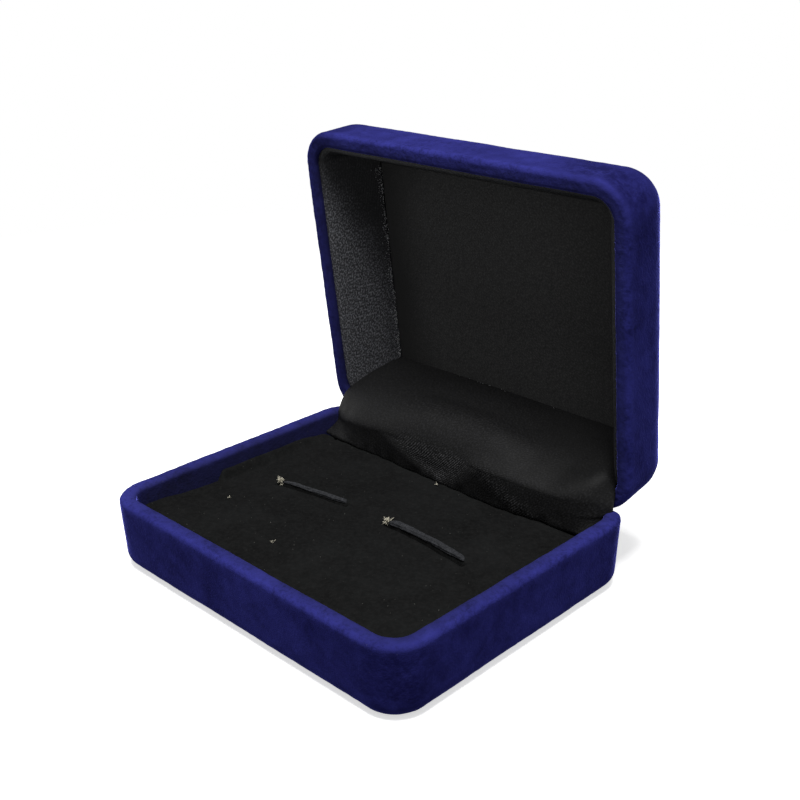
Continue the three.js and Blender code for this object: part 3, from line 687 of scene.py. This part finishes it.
def fold_marks(x, fall):
    """Where the roll's front is a flat patch that narrows downwards, and where a diagonal fold crosses
    it, from 0 to 1."""
    patch = smooth(-19 + 14 * fall, -7 + 10 * fall, x) * smooth(11 - 6 * fall, 3 - 6 * fall, x)
    diagonal = np.exp(-((x - 11 - 11 * fall) / 4.6) ** 2)
    return patch, diagonal


def fold_push(x, fall):
    """How far the front of the roll stands back (+) or forward (-) of its foot at a share fall of its
    height: it overhangs a little, leans back on the patch and towards the right end, and stands forward
    along the fold."""
    patch, diagonal = fold_marks(x, fall)
    right = smooth(13 + 8 * fall, 27 + 8 * fall, x)
    overhang = -0.25 + 1.7 * patch + 0.7 * right
    return (1 - fall) * overhang - 0.36 * diagonal * np.sqrt(np.clip(1 - fall, 0, 1)) * (0.4 + fall)


def curtain_slope(x, ridge, heading):
    """From under the panel's edge down to the ridge: a cubic curve that leaves the panel on its slope, is
    raised in the middle, and comes to the ridge square to its front, or upright at the ends."""
    crease_y = BOX_DEPTH / 2 - PANEL_SIDE - 0.15 - PIVOT_Y
    closed = np.array([[0, crease_y, LID_RIM_Z + PANEL_DEPTH + PANEL_EDGE + 0.2]])
    crease = np.broadcast_to(opened(closed)[0, 1:], ridge.shape)
    slope = np.array([-math.cos(SLOPE_FALL), -math.sin(SLOPE_FALL)])
    upright = smooth(26, CURTAIN_HALF, np.abs(x))[:, None]
    reach = np.where(x[:, None] > 0, (0.1, 6.8), (0.5, 4.5))
    soft = 3.4 - 1.9 * smooth(-8, 14, x)[:, None]
    rounding = (1 - upright) * (ridge - soft * heading) + upright * (ridge + reach)
    raised = smooth(26, 6, np.abs(x))[:, None]
    controls = [crease, crease + 8 * slope + raised * (0, 1.7), rounding + raised * (-0.5, 0.8), ridge]
    return bezier(controls, np.linspace(0, 1, SLOPE_ROWS, endpoint=False))


def clear_of_spring(x, section):
    """Pushes the middle of the sections out to the reach of the closed spring's bow about the pivot,
    eased in by a hyperbola of 0.8 mm."""
    away = section - (PIVOT_Y, PIVOT_Z)
    radius = np.linalg.norm(away, axis=-1, keepdims=True)
    short = (SPRING_COVER - radius + np.hypot(SPRING_COVER - radius, 0.8)) / 2
    return section + away / radius * short * smooth(20, 7, np.abs(x))[None, :, None]


def curtain_section(x):
    """Each column is one section: from under the panel's edge down the slope to the roll's ridge, down
    its front to the foot on the pad, and under to the pad's back edge, where it is tucked in."""
    foot = np.stack([through(x, FOOT_X, FOOT_Y), np.full_like(x, PAD_TOP - 0.3)], -1)
    setback = through(x, RIDGE_X, END_SETBACK)
    ridge_back = fold_push(x, 0) + setback
    ridge_z = through(x, RIDGE_X, RIDGE_Z) - math.tan(RIDGE_SIGHT) * ridge_back
    ridge = np.stack([foot[:, 0] + ridge_back, ridge_z], -1)
    heading = foot - ridge
    heading /= np.linalg.norm(heading, axis=1, keepdims=True)
    fall = np.linspace(0, 1, FRONT_ROWS, endpoint=False)[:, None]
    front_y = foot[:, 0] + fold_push(x, fall) + setback * (1 - fall ** 2)
    front = np.stack([front_y, ridge_z + (foot[:, 1] - ridge_z) * fall], -1)
    pad_edge = np.array([PAD_BACK + 0.7, 9.7])
    controls = [foot, foot + (0.15, -0.6), pad_edge + (0, 0.9), np.broadcast_to(pad_edge, foot.shape)]
    under = bezier(controls, np.linspace(0, 1, 16))
    tuck = under[-1:] - np.linspace(0.5, 3, 5)[:, None, None] * (0, 1)
    return clear_of_spring(x, np.concatenate([curtain_slope(x, ridge, heading), front, under, tuck]))


def curtain_surface():
    """The sections spread as wide as the lid's side linings and the base's walls leave room, with slack
    all over and gathers above the foot."""
    side = np.linspace(-1, 1, CURTAIN_COLUMNS)
    x = side * CURTAIN_HALF
    section = curtain_section(x)
    y, z = section[..., 0], section[..., 1]
    depth = (y - PIVOT_Y) * math.sin(OPEN) + (z - PIVOT_Z) * math.cos(OPEN) - LID_RIM_Z
    inside = BOX_WIDTH / 2 - lining_inset(np.maximum(depth, LINING_TOP)) - 0.12
    half = inside + (CURTAIN_HALF - inside) * smooth(0.9, -0.3, depth)
    half = half - 0.35 * (side < 0) - 0.25 * smooth(14.4, 13.6, z) - 1.2 * smooth(10.9, 9.7, z)
    points = np.stack([side * half, y, z], -1)
    rows = np.linspace(0, 1, len(points))[:, None]
    seen = smooth(0, 0.08, rows) * smooth(0.98, 0.8, rows)
    slack = waves(points, (0.16, 6, 55), (0.05, 1.8, 56)) * smooth(36.5, 34, np.abs(points[..., 0]))
    gathers = 0.12 * np.sin(x * 1.25 + 1.6 * np.sin(x * 0.31)) * np.exp(-((rows - 0.8) / 0.07) ** 2)
    return points + grid_normals(points) * ((slack + gathers) * seen)[..., None]


def curtain_tension_and_painted_light(points):
    """How tightly the satin is drawn, most on the front's patch and its fold, where its ribs are painted
    pale as painted sheen under the light, and painted shade on the slope towards the right, carried as the
    weave's openness."""
    x = points[..., 0]
    row = np.arange(len(points))[:, None]
    patch, diagonal = fold_marks(x, np.clip((row - SLOPE_ROWS) / FRONT_ROWS, 0, 1))
    drawn_and_lit = np.maximum(patch, 0.55 * diagonal) * smooth(SLOPE_ROWS - 13, SLOPE_ROWS + 1, row)
    # Painted shade on the slope towards the right
    shade = smooth(4, 24, x) * smooth(SLOPE_ROWS - 3, SLOPE_ROWS - 19, row)
    return {"drawn": 0.12 + 0.85 * drawn_and_lit, "open": 1 - 0.45 * shade}


curtain_points = curtain_surface()
curtain_widths, curtain_lengths = run_lengths(curtain_points, 1), run_lengths(curtain_points, 0)
curtain = make_cloth(
    "curtain", curtain_points, curtain_widths, curtain_lengths, curtain_tension_and_painted_light(curtain_points))
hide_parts("hinge_curtain")


# Loose fibres

def threads(name, starts, heads, length, radius, curl, seed):
    """Short curved fibres, each a three-sided tube of seven steps: start + head t + sideways curl t^2,
    closed by drawing both ends in to the middle line."""
    rng = np.random.default_rng(seed)
    count = len(starts)
    steps = 7
    share = np.linspace(0, 1, steps)[None, :, None]
    reach = length * rng.uniform(0.5, 1.2, (count, 1, 1))
    bend = rng.normal(0, 1, (count, 1, 3)) * curl
    path = starts[:, None] + reach * (heads[:, None] * share + bend * share ** 2)
    along = np.gradient(path, axis=1)
    side = np.cross(along, rng.normal(0, 1, (count, 1, 3)))
    side /= np.linalg.norm(side, axis=-1, keepdims=True)
    other = np.cross(along, side)
    other /= np.linalg.norm(other, axis=-1, keepdims=True)
    closing = np.sin(np.linspace(0.02, math.pi - 0.02, steps))[None, :, None] ** 0.4
    thick = np.reshape(radius, (-1, 1, 1)) * closing
    ring = [path + thick * (side * math.cos(turn) + other * math.sin(turn)) for turn in FIBRE_TURNS]
    index = np.arange(count * steps * 3).reshape(count, steps, 3)
    right = np.roll(index, -1, 2)
    faces = np.stack([index[:, :-1], right[:, :-1], right[:, 1:], index[:, 1:]], -1).reshape(-1, 4)
    return make_piece(name, np.stack(ring, 2), faces)


def unit(directions):
    """Directions of length 1."""
    return directions / np.linalg.norm(directions, axis=1, keepdims=True)


def frayed_ends():
    """Pale backing threads that stand up in a knot where each slot was cut, at its left end."""
    rng = np.random.default_rng(61)
    ends = [(*slot_place(slot, -slot["length"] / 2, 0.1), PAD_TOP + 0.1) for slot in SLOTS.values()]
    starts = np.concatenate([end + rng.normal(0, 0.24, (110, 3)) * (1, 1.2, 0.6) for end in ends])
    heads = unit(rng.normal(0, 1, starts.shape) + (0, 0, 0.3))
    return threads("frayed_ends", starts, heads, length=0.22, radius=0.065, curl=1.3, seed=62)


def lint_specks():
    """A few small knots of lint on the pad: nine fibres each that start close together and lie nearly
    flat."""
    rng = np.random.default_rng(71)
    spread = rng.normal(0, 1, (9 * len(LINT_SPOTS), 2)) * np.repeat(LINT_SIZES, 9)[:, None]
    knots = np.repeat(LINT_SPOTS, 9, 0) + spread
    starts = np.column_stack([knots, np.full(len(knots), PAD_TOP - 0.02)])
    heads = unit(rng.normal(0, 1, starts.shape) * (1, 1, 0.35))
    return threads("lint", starts, heads, length=0.24, radius=0.05, curl=0.8, seed=72)


def seam_glints():
    """Cut ends of the satin's floats, coloured near white as painted glints, that show as short bright
    dashes along the left seam of the lid's panel, and thinly at a few creases of its seam with the curtain."""
    rng = np.random.default_rng(91)
    tried, creased = 900, 30
    y = rng.uniform(-BOX_DEPTH / 2 + PANEL_FRONT + 1, BOX_DEPTH / 2 - PANEL_SIDE, tried)
    y = y[rng.uniform(size=tried) < 0.5 + 0.5 * smooth(-0.2, 0.5, np.sin(y * 0.9) * np.sin(y * 0.37 + 1))]
    inset = SEAM_INSET + rng.normal(0, 0.28, len(y))
    slope = (PANEL_DEPTH - LINING_TOP) / LINING_RUN
    depth = np.minimum(PANEL_DEPTH + slope * (inset - SEAM_INSET), PANEL_DEPTH)
    depth = depth - rng.uniform(0.1, 0.5, len(y))
    across = rng.choice(SEAM_CREASES_X, creased) + rng.normal(0, 1.6, creased)
    seam = BOX_DEPTH / 2 - PANEL_SIDE - rng.uniform(0, 0.5, creased)
    radius = np.repeat([0.036, 0.02], [len(y), creased])
    x, y = np.append(inset - BOX_WIDTH / 2, across), np.append(y, seam)
    depth = np.append(depth, np.full(creased, PANEL_DEPTH - 0.22))
    starts = opened(np.stack([x, y - PIVOT_Y, LID_RIM_Z + depth], -1))
    heads = [rng.normal(0.4, 0.6, len(y)), rng.normal(0, 0.8, len(y)), rng.uniform(-0.5, 0, len(y))]
    heads = unit(opened(np.stack(heads, -1)) - (0, PIVOT_Y, PIVOT_Z))
    return threads("seam_glints", starts, heads, length=0.3, radius=radius, curl=0.35, seed=92)


fluff = [frayed_ends(), lint_specks()]
glints = seam_glints()


# Materials, their patterns sized in millimetres

def linear(code):
    """sRGB hex to linear RGBA."""
    channels = [int(code[start:start + 2], 16) / 255 for start in (1, 3, 5)]
    return [c / 12.92 if c <= 0.04045 else ((c + 0.055) / 1.055) ** 2.4 for c in channels] + [1.0]


def add(tree, kind, inputs=None, output=None, **settings):
    """Adds one shader node: settings are its properties, inputs its sockets by name or number, as values
    or links. By number, a Map Range's are value, from low, from high, to low and to high, and a colour
    Mix's 0, 6 and 7. Gives back the output that is named, or else the first one in use."""
    made = tree.nodes.new("ShaderNode" + kind)
    for name, value in settings.items():
        setattr(made, name, value)
    for name, value in (inputs or {}).items():
        if isinstance(value, bpy.types.NodeSocket):
            tree.links.new(value, made.inputs[name])
        else:
            made.inputs[name].default_value = value
    return made.outputs[output] if output else next(choice for choice in made.outputs if choice.enabled)


def start_material(name, surface):
    """A material with one Principled shader, whose plain numbers are set on its own sockets."""
    material = bpy.data.materials.new(name)
    material.use_nodes = True
    tree = material.node_tree
    shader = tree.nodes["Principled BSDF"]
    for socket, value in surface.items():
        shader.inputs[socket].default_value = value
    return material, tree, shader


def finish_material(tree, shader, colour, height, strength, distance):
    """Gives the shader its colour and a bump of a height that is lifted by a distance."""
    tree.links.new(colour, shader.inputs["Base Color"])
    bump = add(tree, "Bump", {"Height": height, "Strength": strength, "Distance": distance * MM})
    tree.links.new(bump, shader.inputs["Normal"])


def velvet(name, deep, lit, tips, sheen_tint, sheen, dust):
    """Flocked velvet: upright pile 0.5 mm high. Patches 13 mm wide and strokes 2.8 mm wide lean different
    ways and read lighter or darker, tufts make a fine mottle that fades where the pile is brushed down,
    the pile fans out in light tufts where the cloth bends and is lighter where the spread attribute says,
    partly painted light on the lit rims, it turns grey where the pressed attribute says, which is wear on
    the rim's flat and painted shade on the inner walls, and a little dust sits on it."""
    material, tree, shader = start_material(name, {
        "Roughness": 1.0, "Specular IOR Level": 0.0, "Sheen Weight": sheen, "Sheen Roughness": 0.25,
        "Sheen Tint": linear(sheen_tint)})
    place = add(tree, "TexCoord", output="Object")
    spread = add(tree, "Attribute", output="Fac", attribute_name="spread")
    pressed = add(tree, "Attribute", output="Fac", attribute_name="pressed")
    patches = add(tree, "TexNoise", {
        "Vector": place, "Scale": 1 / (13 * MM), "Detail": 3.0, "Roughness": 0.55, "Distortion": 0.8})
    strokes = add(tree, "TexNoise", {
        "Vector": place, "Scale": 1 / (2.8 * MM), "Detail": 3.0, "Roughness": 0.6, "Distortion": 0.5})
    tufts = add(tree, "TexNoise", {
        "Vector": place, "Scale": 1 / (0.8 * MM), "Detail": 3.0, "Roughness": 0.7})
    pile = add(tree, "TexNoise", {"Vector": place, "Scale": 1 / (0.4 * MM), "Detail": 2.0})
    dots = add(tree, "TexNoise", {"Vector": place, "Scale": 1 / (0.45 * MM), "Detail": 1.0})
    brushed = add(tree, "MapRange", {0: patches, 1: 0.35, 2: 0.68, 3: 0.0, 4: 0.31})
    stroke = add(tree, "MapRange", {0: strokes, 1: 0.35, 2: 0.7, 3: 0.0, 4: 0.25})
    nap = add(tree, "Math", {0: brushed, 1: stroke}, operation="ADD")
    fanned_and_lit = add(tree, "MapRange", {0: tufts, 1: 0.38, 2: 0.64, 3: 0.14, 4: 0.58})
    # Lighter where spread is high: pile that fans out, and painted light on the lit rims and strokes
    bent = add(tree, "Math", {0: spread, 1: fanned_and_lit, 2: nap}, operation="MULTIPLY_ADD", use_clamp=True)
    body = add(tree, "Mix", {0: bent, 6: linear(deep), 7: linear(lit)}, data_type="RGBA")
    upright = add(tree, "MapRange", {0: spread, 1: -0.8, 2: -0.1, 3: 0.08, 4: 0.5})
    mottle = add(tree, "MapRange", {0: tufts, 1: 0.42, 2: 0.72, 3: 0.0, 4: upright})
    tipped = add(tree, "Mix", {0: mottle, 6: body, 7: linear(tips)}, data_type="RGBA")
    # Grey where pressed: wear on the rim's flat, painted shade on the inner walls
    flat = add(tree, "Math", {0: pressed, 1: 0.55}, operation="MULTIPLY")
    rubbed_and_shaded = add(tree, "Mix", {0: flat, 6: tipped, 7: linear("#242529")}, data_type="RGBA")
    dusty = add(tree, "MapRange", {0: dots, 1: 0.76, 2: 0.82, 3: 0.0, 4: dust})
    colour = add(tree, "Mix", {0: dusty, 6: rubbed_and_shaded, 7: linear("#8c8c86")}, data_type="RGBA")
    height = add(tree, "Math", {0: tufts, 1: pile}, operation="ADD")
    finish_material(tree, shader, colour, height, 0.5, 0.12)
    return material


def satin(name, thread, pale_float_glint, shine, pitch, lean, roughness, gleam, grain):
    """Polyester satin: long warp floats lie in fine slanting ribs at a pitch, which stand out where the
    attribute drawn says, painted towards the shine colour as painted sheen; single floats of 0.28 by
    0.45 mm show as pale specks among slubs of 1.6 mm, partly grain and partly painted glints. Where the
    attribute open is low, specks and slubs give way to the dark thread colour: painted shade."""
    material, tree, shader = start_material(name, {
        "Roughness": roughness, "Specular IOR Level": gleam, "Anisotropic": 0.2})
    weave = add(tree, "UVMap", uv_map="cloth")
    drawn = add(tree, "Attribute", output="Fac", attribute_name="drawn")
    painted_light_mask = add(tree, "Attribute", output="Fac", attribute_name="open")
    slanted = add(tree, "Mapping", {"Vector": weave, "Rotation": (0, 0, math.radians(lean))})
    ribs = add(tree, "TexWave", {
        "Vector": slanted, "Scale": WAVE_LENGTH / (pitch * MM), "Distortion": 0.8, "Detail": 2.0,
        "Detail Scale": 1.2}, output="Fac", wave_type="BANDS", bands_direction="X")
    floats = add(tree, "Mapping", {"Vector": slanted, "Scale": (1 / (0.28 * MM), 1 / (0.45 * MM), 1)})
    specks = add(tree, "TexNoise", {"Vector": floats, "Scale": 1.0, "Detail": 2.0})
    slub = add(tree, "TexNoise", {
        "Vector": weave, "Scale": 1 / (1.6 * MM), "Detail": 4.0, "Roughness": 0.7})
    speck = add(tree, "MapRange", {0: specks, 1: 0.46, 2: 0.68, 3: 0.0, 4: grain})
    broken = add(tree, "MapRange", {0: specks, 1: 0.4, 2: 0.6, 3: 0.35, 4: 1.0})
    drawn_and_lit = add(tree, "Math", {0: drawn, 1: broken}, operation="MULTIPLY")
    rib = add(tree, "Math", {0: ribs, 1: drawn_and_lit}, operation="MULTIPLY")
    soft = add(tree, "Math", {0: slub, 1: 0.3, 2: speck}, operation="MULTIPLY_ADD", use_clamp=True)
    # The open attribute is painted light and shade: low values darken the cloth to the thread colour
    share = add(tree, "Math", {0: soft, 1: painted_light_mask}, operation="MULTIPLY")
    cloth = add(tree, "Mix", {0: share, 6: linear(thread), 7: linear(pale_float_glint)}, data_type="RGBA")
    # Ribs painted towards the shine colour: painted sheen
    ridge = add(tree, "MapRange", {0: rib, 1: 0.25, 2: 0.85, 3: 0.0, 4: 0.75})
    colour = add(tree, "Mix", {0: ridge, 6: cloth, 7: linear(shine)}, data_type="RGBA")
    height = add(tree, "Math", {0: specks, 1: 0.6, 2: rib}, operation="MULTIPLY_ADD")
    tangent = add(tree, "Tangent", direction_type="UV_MAP", uv_map="cloth")
    tree.links.new(tangent, shader.inputs["Tangent"])
    finish_material(tree, shader, colour, height, 0.6, 0.12)
    return material


def plain_grain(name, dark, light, size, roughness, lift, metallic=0.0, gleam=0.5):
    """A dense grain of one size: its noise shifts the colour between two tones and lifts the surface a
    little."""
    material, tree, shader = start_material(name, {
        "Roughness": roughness, "Metallic": metallic, "Specular IOR Level": gleam})
    place = add(tree, "TexCoord", output="Object")
    grain = add(tree, "TexNoise", {
        "Vector": place, "Scale": 1 / (size * MM), "Detail": 4.0, "Roughness": 0.65})
    tone = add(tree, "MapRange", {0: grain, 1: 0.3, 2: 0.7})
    colour = add(tree, "Mix", {0: tone, 6: linear(dark), 7: linear(light)}, data_type="RGBA")
    finish_material(tree, shader, colour, grain, 0.5, lift)
    return material


# Viscose flock on cloth, dyed blue: matt and deep face on, with a pale violet bloom at glancing angles
blue_velvet = velvet("blue_velvet", "#161640", "#383a8c", "#212160", "#7678f0", sheen=1.0, dust=0.1)
# The same flock in black: almost no light comes back, only a grey bloom
black_velvet = velvet("black_velvet", "#131313", "#202121", "#222222", "#a0a0a8", sheen=0.15, dust=0.25)
# Flock pressed flat where the slot was cut and rolled: smoother and greyer than the standing pile
pressed_velvet = plain_grain("pressed_velvet", "#17181a", "#37383b", 0.4, 0.8, 0.1, gleam=0.1)
# Black polyester satin: soft shine with fine slanting ribs, drawn coarser than the real weave so that
# they show; the ribs are painted pale as painted sheen
black_satin = satin("black_satin", "#080808", "#262627", "#5c5c5e", pitch=0.42, lean=-47, roughness=0.6,
                    gleam=0.1, grain=0.6)
# The same satin drawn flat over the lid's panel: its floats lie even, so it reads as one soft dark grey,
# with painted shade towards the left seam and the right
flat_satin = satin("flat_satin", "#272727", "#666666", "#686868", pitch=0.4, lean=-47, roughness=0.7,
                   gleam=0.05, grain=0.25)
# The satin on the card sides, stretched over its open weave: greyer, with bright single floats that are
# partly grain and partly painted glints
grey_satin = satin("grey_satin", "#0b0c0d", "#7a7b80", "#94959a", pitch=0.5, lean=80, roughness=0.6,
                   gleam=0.1, grain=0.9)
# Cut float ends along the seams: near-white polyester, painted glints
glinting_float_ends = plain_grain("painted_glint_floats", "#b0b2b6", "#e2e4e6", 0.4, 0.4, 0.02)
# Moulded polystyrene tub: satin surface with a faint orange peel
moulded_plastic = plain_grain("moulded_polystyrene", "#17172e", "#1e1e3a", 1.2, 0.45, 0.02)
# Grey pulp board: dull and speckled
grey_card = plain_grain("grey_board", "#7f786c", "#9c9486", 0.5, 0.92, 0.05)
# Nickel-plated steel strip: bright with a fine rolled grain
hinge_steel = plain_grain("nickel_plated_steel", "#a9abae", "#c3c5c8", 0.8, 0.3, 0.01, metallic=1.0)
# Tempered spring strip: darker, with a straw-blue cast
spring_steel = plain_grain("tempered_spring_steel", "#6a6d78", "#8a8784", 1.5, 0.35, 0.01, metallic=1.0)
# Pale backing threads and lint: dry cotton fibre
cotton_lint = plain_grain("cotton_lint", "#a8a390", "#d9d4c2", 0.3, 0.95, 0.02)


def dress(piece, material, body=None):
    """Gives a piece its material, and a new piece its body."""
    piece.data.materials.clear()
    piece.data.materials.append(material)
    if body:
        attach(piece, body)


dress(base_velvet, blue_velvet, "base")
dress(lid_velvet, blue_velvet, "lid")
dress(pad, black_velvet, "base")
dress(lid_panel, flat_satin, "lid")
dress(side_lining, grey_satin, "lid")
dress(curtain, black_satin, None)
for lip in lips:
    dress(lip, pressed_velvet, "base")
for fibres in fluff:
    dress(fibres, cotton_lint, "base")
dress(glints, glinting_float_ends, "lid")

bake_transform(curtain)

node_finishes = {
    "base_shell": moulded_plastic, "lid_shell": moulded_plastic, "pad_card": grey_card,
    "lid_panel_card": grey_card, "lid_side_lining_card": grey_card, "hinge_base_leaf": hinge_steel,
    "hinge_lid_leaf": hinge_steel, "hinge_pin": hinge_steel, "snap_spring": spring_steel,
}
for number in range(1, 5):
    node_finishes[f"base_rivet_{number}"] = hinge_steel
    node_finishes[f"lid_rivet_{number}"] = hinge_steel
for node_name, finish in node_finishes.items():
    dress(frame["nodes"][node_name], finish)


# Floor, lights and camera, in metres

def make_floor():
    """A wide white plane just under the underside. Near the object the camera sees paper with a glow that
    keeps its shadow faint, and from 0.1 to 0.3 m out that fades to plain white. All other light meets a
    dull grey."""
    half = 4
    mesh = bpy.data.meshes.new("floor")
    corners = [(-half, -half, 0), (half, -half, 0), (half, half, 0), (-half, half, 0)]
    mesh.from_pydata(corners, [], [(0, 1, 2, 3)])
    floor = bpy.data.objects.new("floor", mesh)
    bpy.context.scene.collection.objects.link(floor)
    floor.location.z = -0.00005
    material, tree, shader = start_material("white_paper", {
        "Base Color": linear("#f4f4f4"), "Roughness": 0.95, "Specular IOR Level": 0.1})
    dull = add(tree, "BsdfDiffuse", {"Color": linear("#909090")})
    camera_ray = add(tree, "LightPath", output="Is Camera Ray")
    glossy_ray = add(tree, "LightPath", output="Is Glossy Ray")
    seen = add(tree, "Math", {0: camera_ray, 1: glossy_ray}, operation="MAXIMUM")
    place = add(tree, "TexCoord", output="Object")
    distance = add(tree, "VectorMath", {0: place}, operation="LENGTH")
    far = add(tree, "MapRange", {0: distance, 1: 0.1, 2: 0.3, 3: 0.0, 4: 1.0})
    cleared = add(tree, "Math", {0: seen, 1: far}, operation="MULTIPLY")
    white = add(tree, "Emission", {"Color": (1, 1, 1, 1), "Strength": 1.0})
    glow = add(tree, "Emission", {"Color": (1, 1, 1, 1), "Strength": 0.6})
    lifted = add(tree, "AddShader", {0: shader.outputs[0], 1: glow})
    near = add(tree, "MixShader", {0: seen, 1: dull, 2: lifted})
    both = add(tree, "MixShader", {0: cleared, 1: near, 2: white})
    tree.links.new(both, tree.nodes["Material Output"].inputs["Surface"])
    mesh.materials.append(material)


def make_world(strength):
    """Soft grey light from all round, with plain white where the camera or a mirror sees it."""
    world = bpy.data.worlds.new("studio")
    bpy.context.scene.world = world
    world.use_nodes = True
    tree = world.node_tree
    camera_ray, through_glass, glossy_ray = (
        add(tree, "LightPath", output=f"Is {kind} Ray") for kind in ("Camera", "Transmission", "Glossy"))
    clear = add(tree, "Math", {0: camera_ray, 1: through_glass}, operation="MAXIMUM")
    shown = add(tree, "Math", {0: clear, 1: glossy_ray}, operation="MAXIMUM")
    level = add(tree, "MapRange", {0: shown, 3: strength, 4: 1.0})
    backdrop = tree.nodes["Background"]
    backdrop.inputs["Color"].default_value = (1, 1, 1, 1)
    tree.links.new(level, backdrop.inputs["Strength"])


def looking(place, right, up, back):
    """Matrix of a lamp or camera at a place, from its three own directions."""
    axes = np.stack([right, up, back], 1)
    return Matrix.Translation(tuple(map(float, place))) @ Matrix(axes.tolist()).to_4x4()


def make_softbox(name, place, aim, size, power):
    """A square area light that looks from its place towards its aim."""
    light = bpy.data.lights.new(name, "AREA")
    light.size = size
    light.energy = power
    lamp = bpy.data.objects.new(name, light)
    bpy.context.scene.collection.objects.link(lamp)
    back = np.array(place, float) - np.array(aim, float)
    back /= np.linalg.norm(back)
    right = np.cross((0.0, 1.0, 0.1), back)
    right /= np.linalg.norm(right)
    lamp.matrix_world = looking(place, right, np.cross(back, right), back)


def make_camera(azimuth, elevation, roll, offset, focal_share):
    """The camera found from the outlines of the object: angles in degrees, its offset right, up and back
    in mm from the middle of the base's rim, and its focal length as a share of the picture's width."""
    azimuth, elevation, roll = map(math.radians, (azimuth, elevation, roll))
    back = np.array([math.sin(azimuth) * math.cos(elevation), -math.cos(azimuth) * math.cos(elevation),
                     math.sin(elevation)])
    level = np.array([math.cos(azimuth), math.sin(azimuth), 0])
    rise = np.cross(back, level)
    right = math.cos(roll) * level + math.sin(roll) * rise
    up = math.cos(roll) * rise - math.sin(roll) * level
    eye = back * offset[2] + right * offset[0] + up * offset[1] + (0, 0, BASE_HEIGHT)
    lens = bpy.data.cameras.new("camera")
    lens.sensor_width = 36
    lens.lens = focal_share * lens.sensor_width
    lens.clip_start = 0.01
    camera = bpy.data.objects.new("camera", lens)
    bpy.context.scene.collection.objects.link(camera)
    camera.matrix_world = looking(eye * MM, right, up, back)
    bpy.context.scene.camera = camera


make_floor()
make_world(strength=0.3)
make_softbox("overhead_softbox", place=(0.13, -0.14, 0.73), aim=(0, 0, 0.03), size=0.25, power=6.0)
make_camera(44.554, 22.814, -0.707, offset=(6.707, 19.653, 224.55), focal_share=1.462375)

bpy.context.scene.view_settings.view_transform = "Standard"
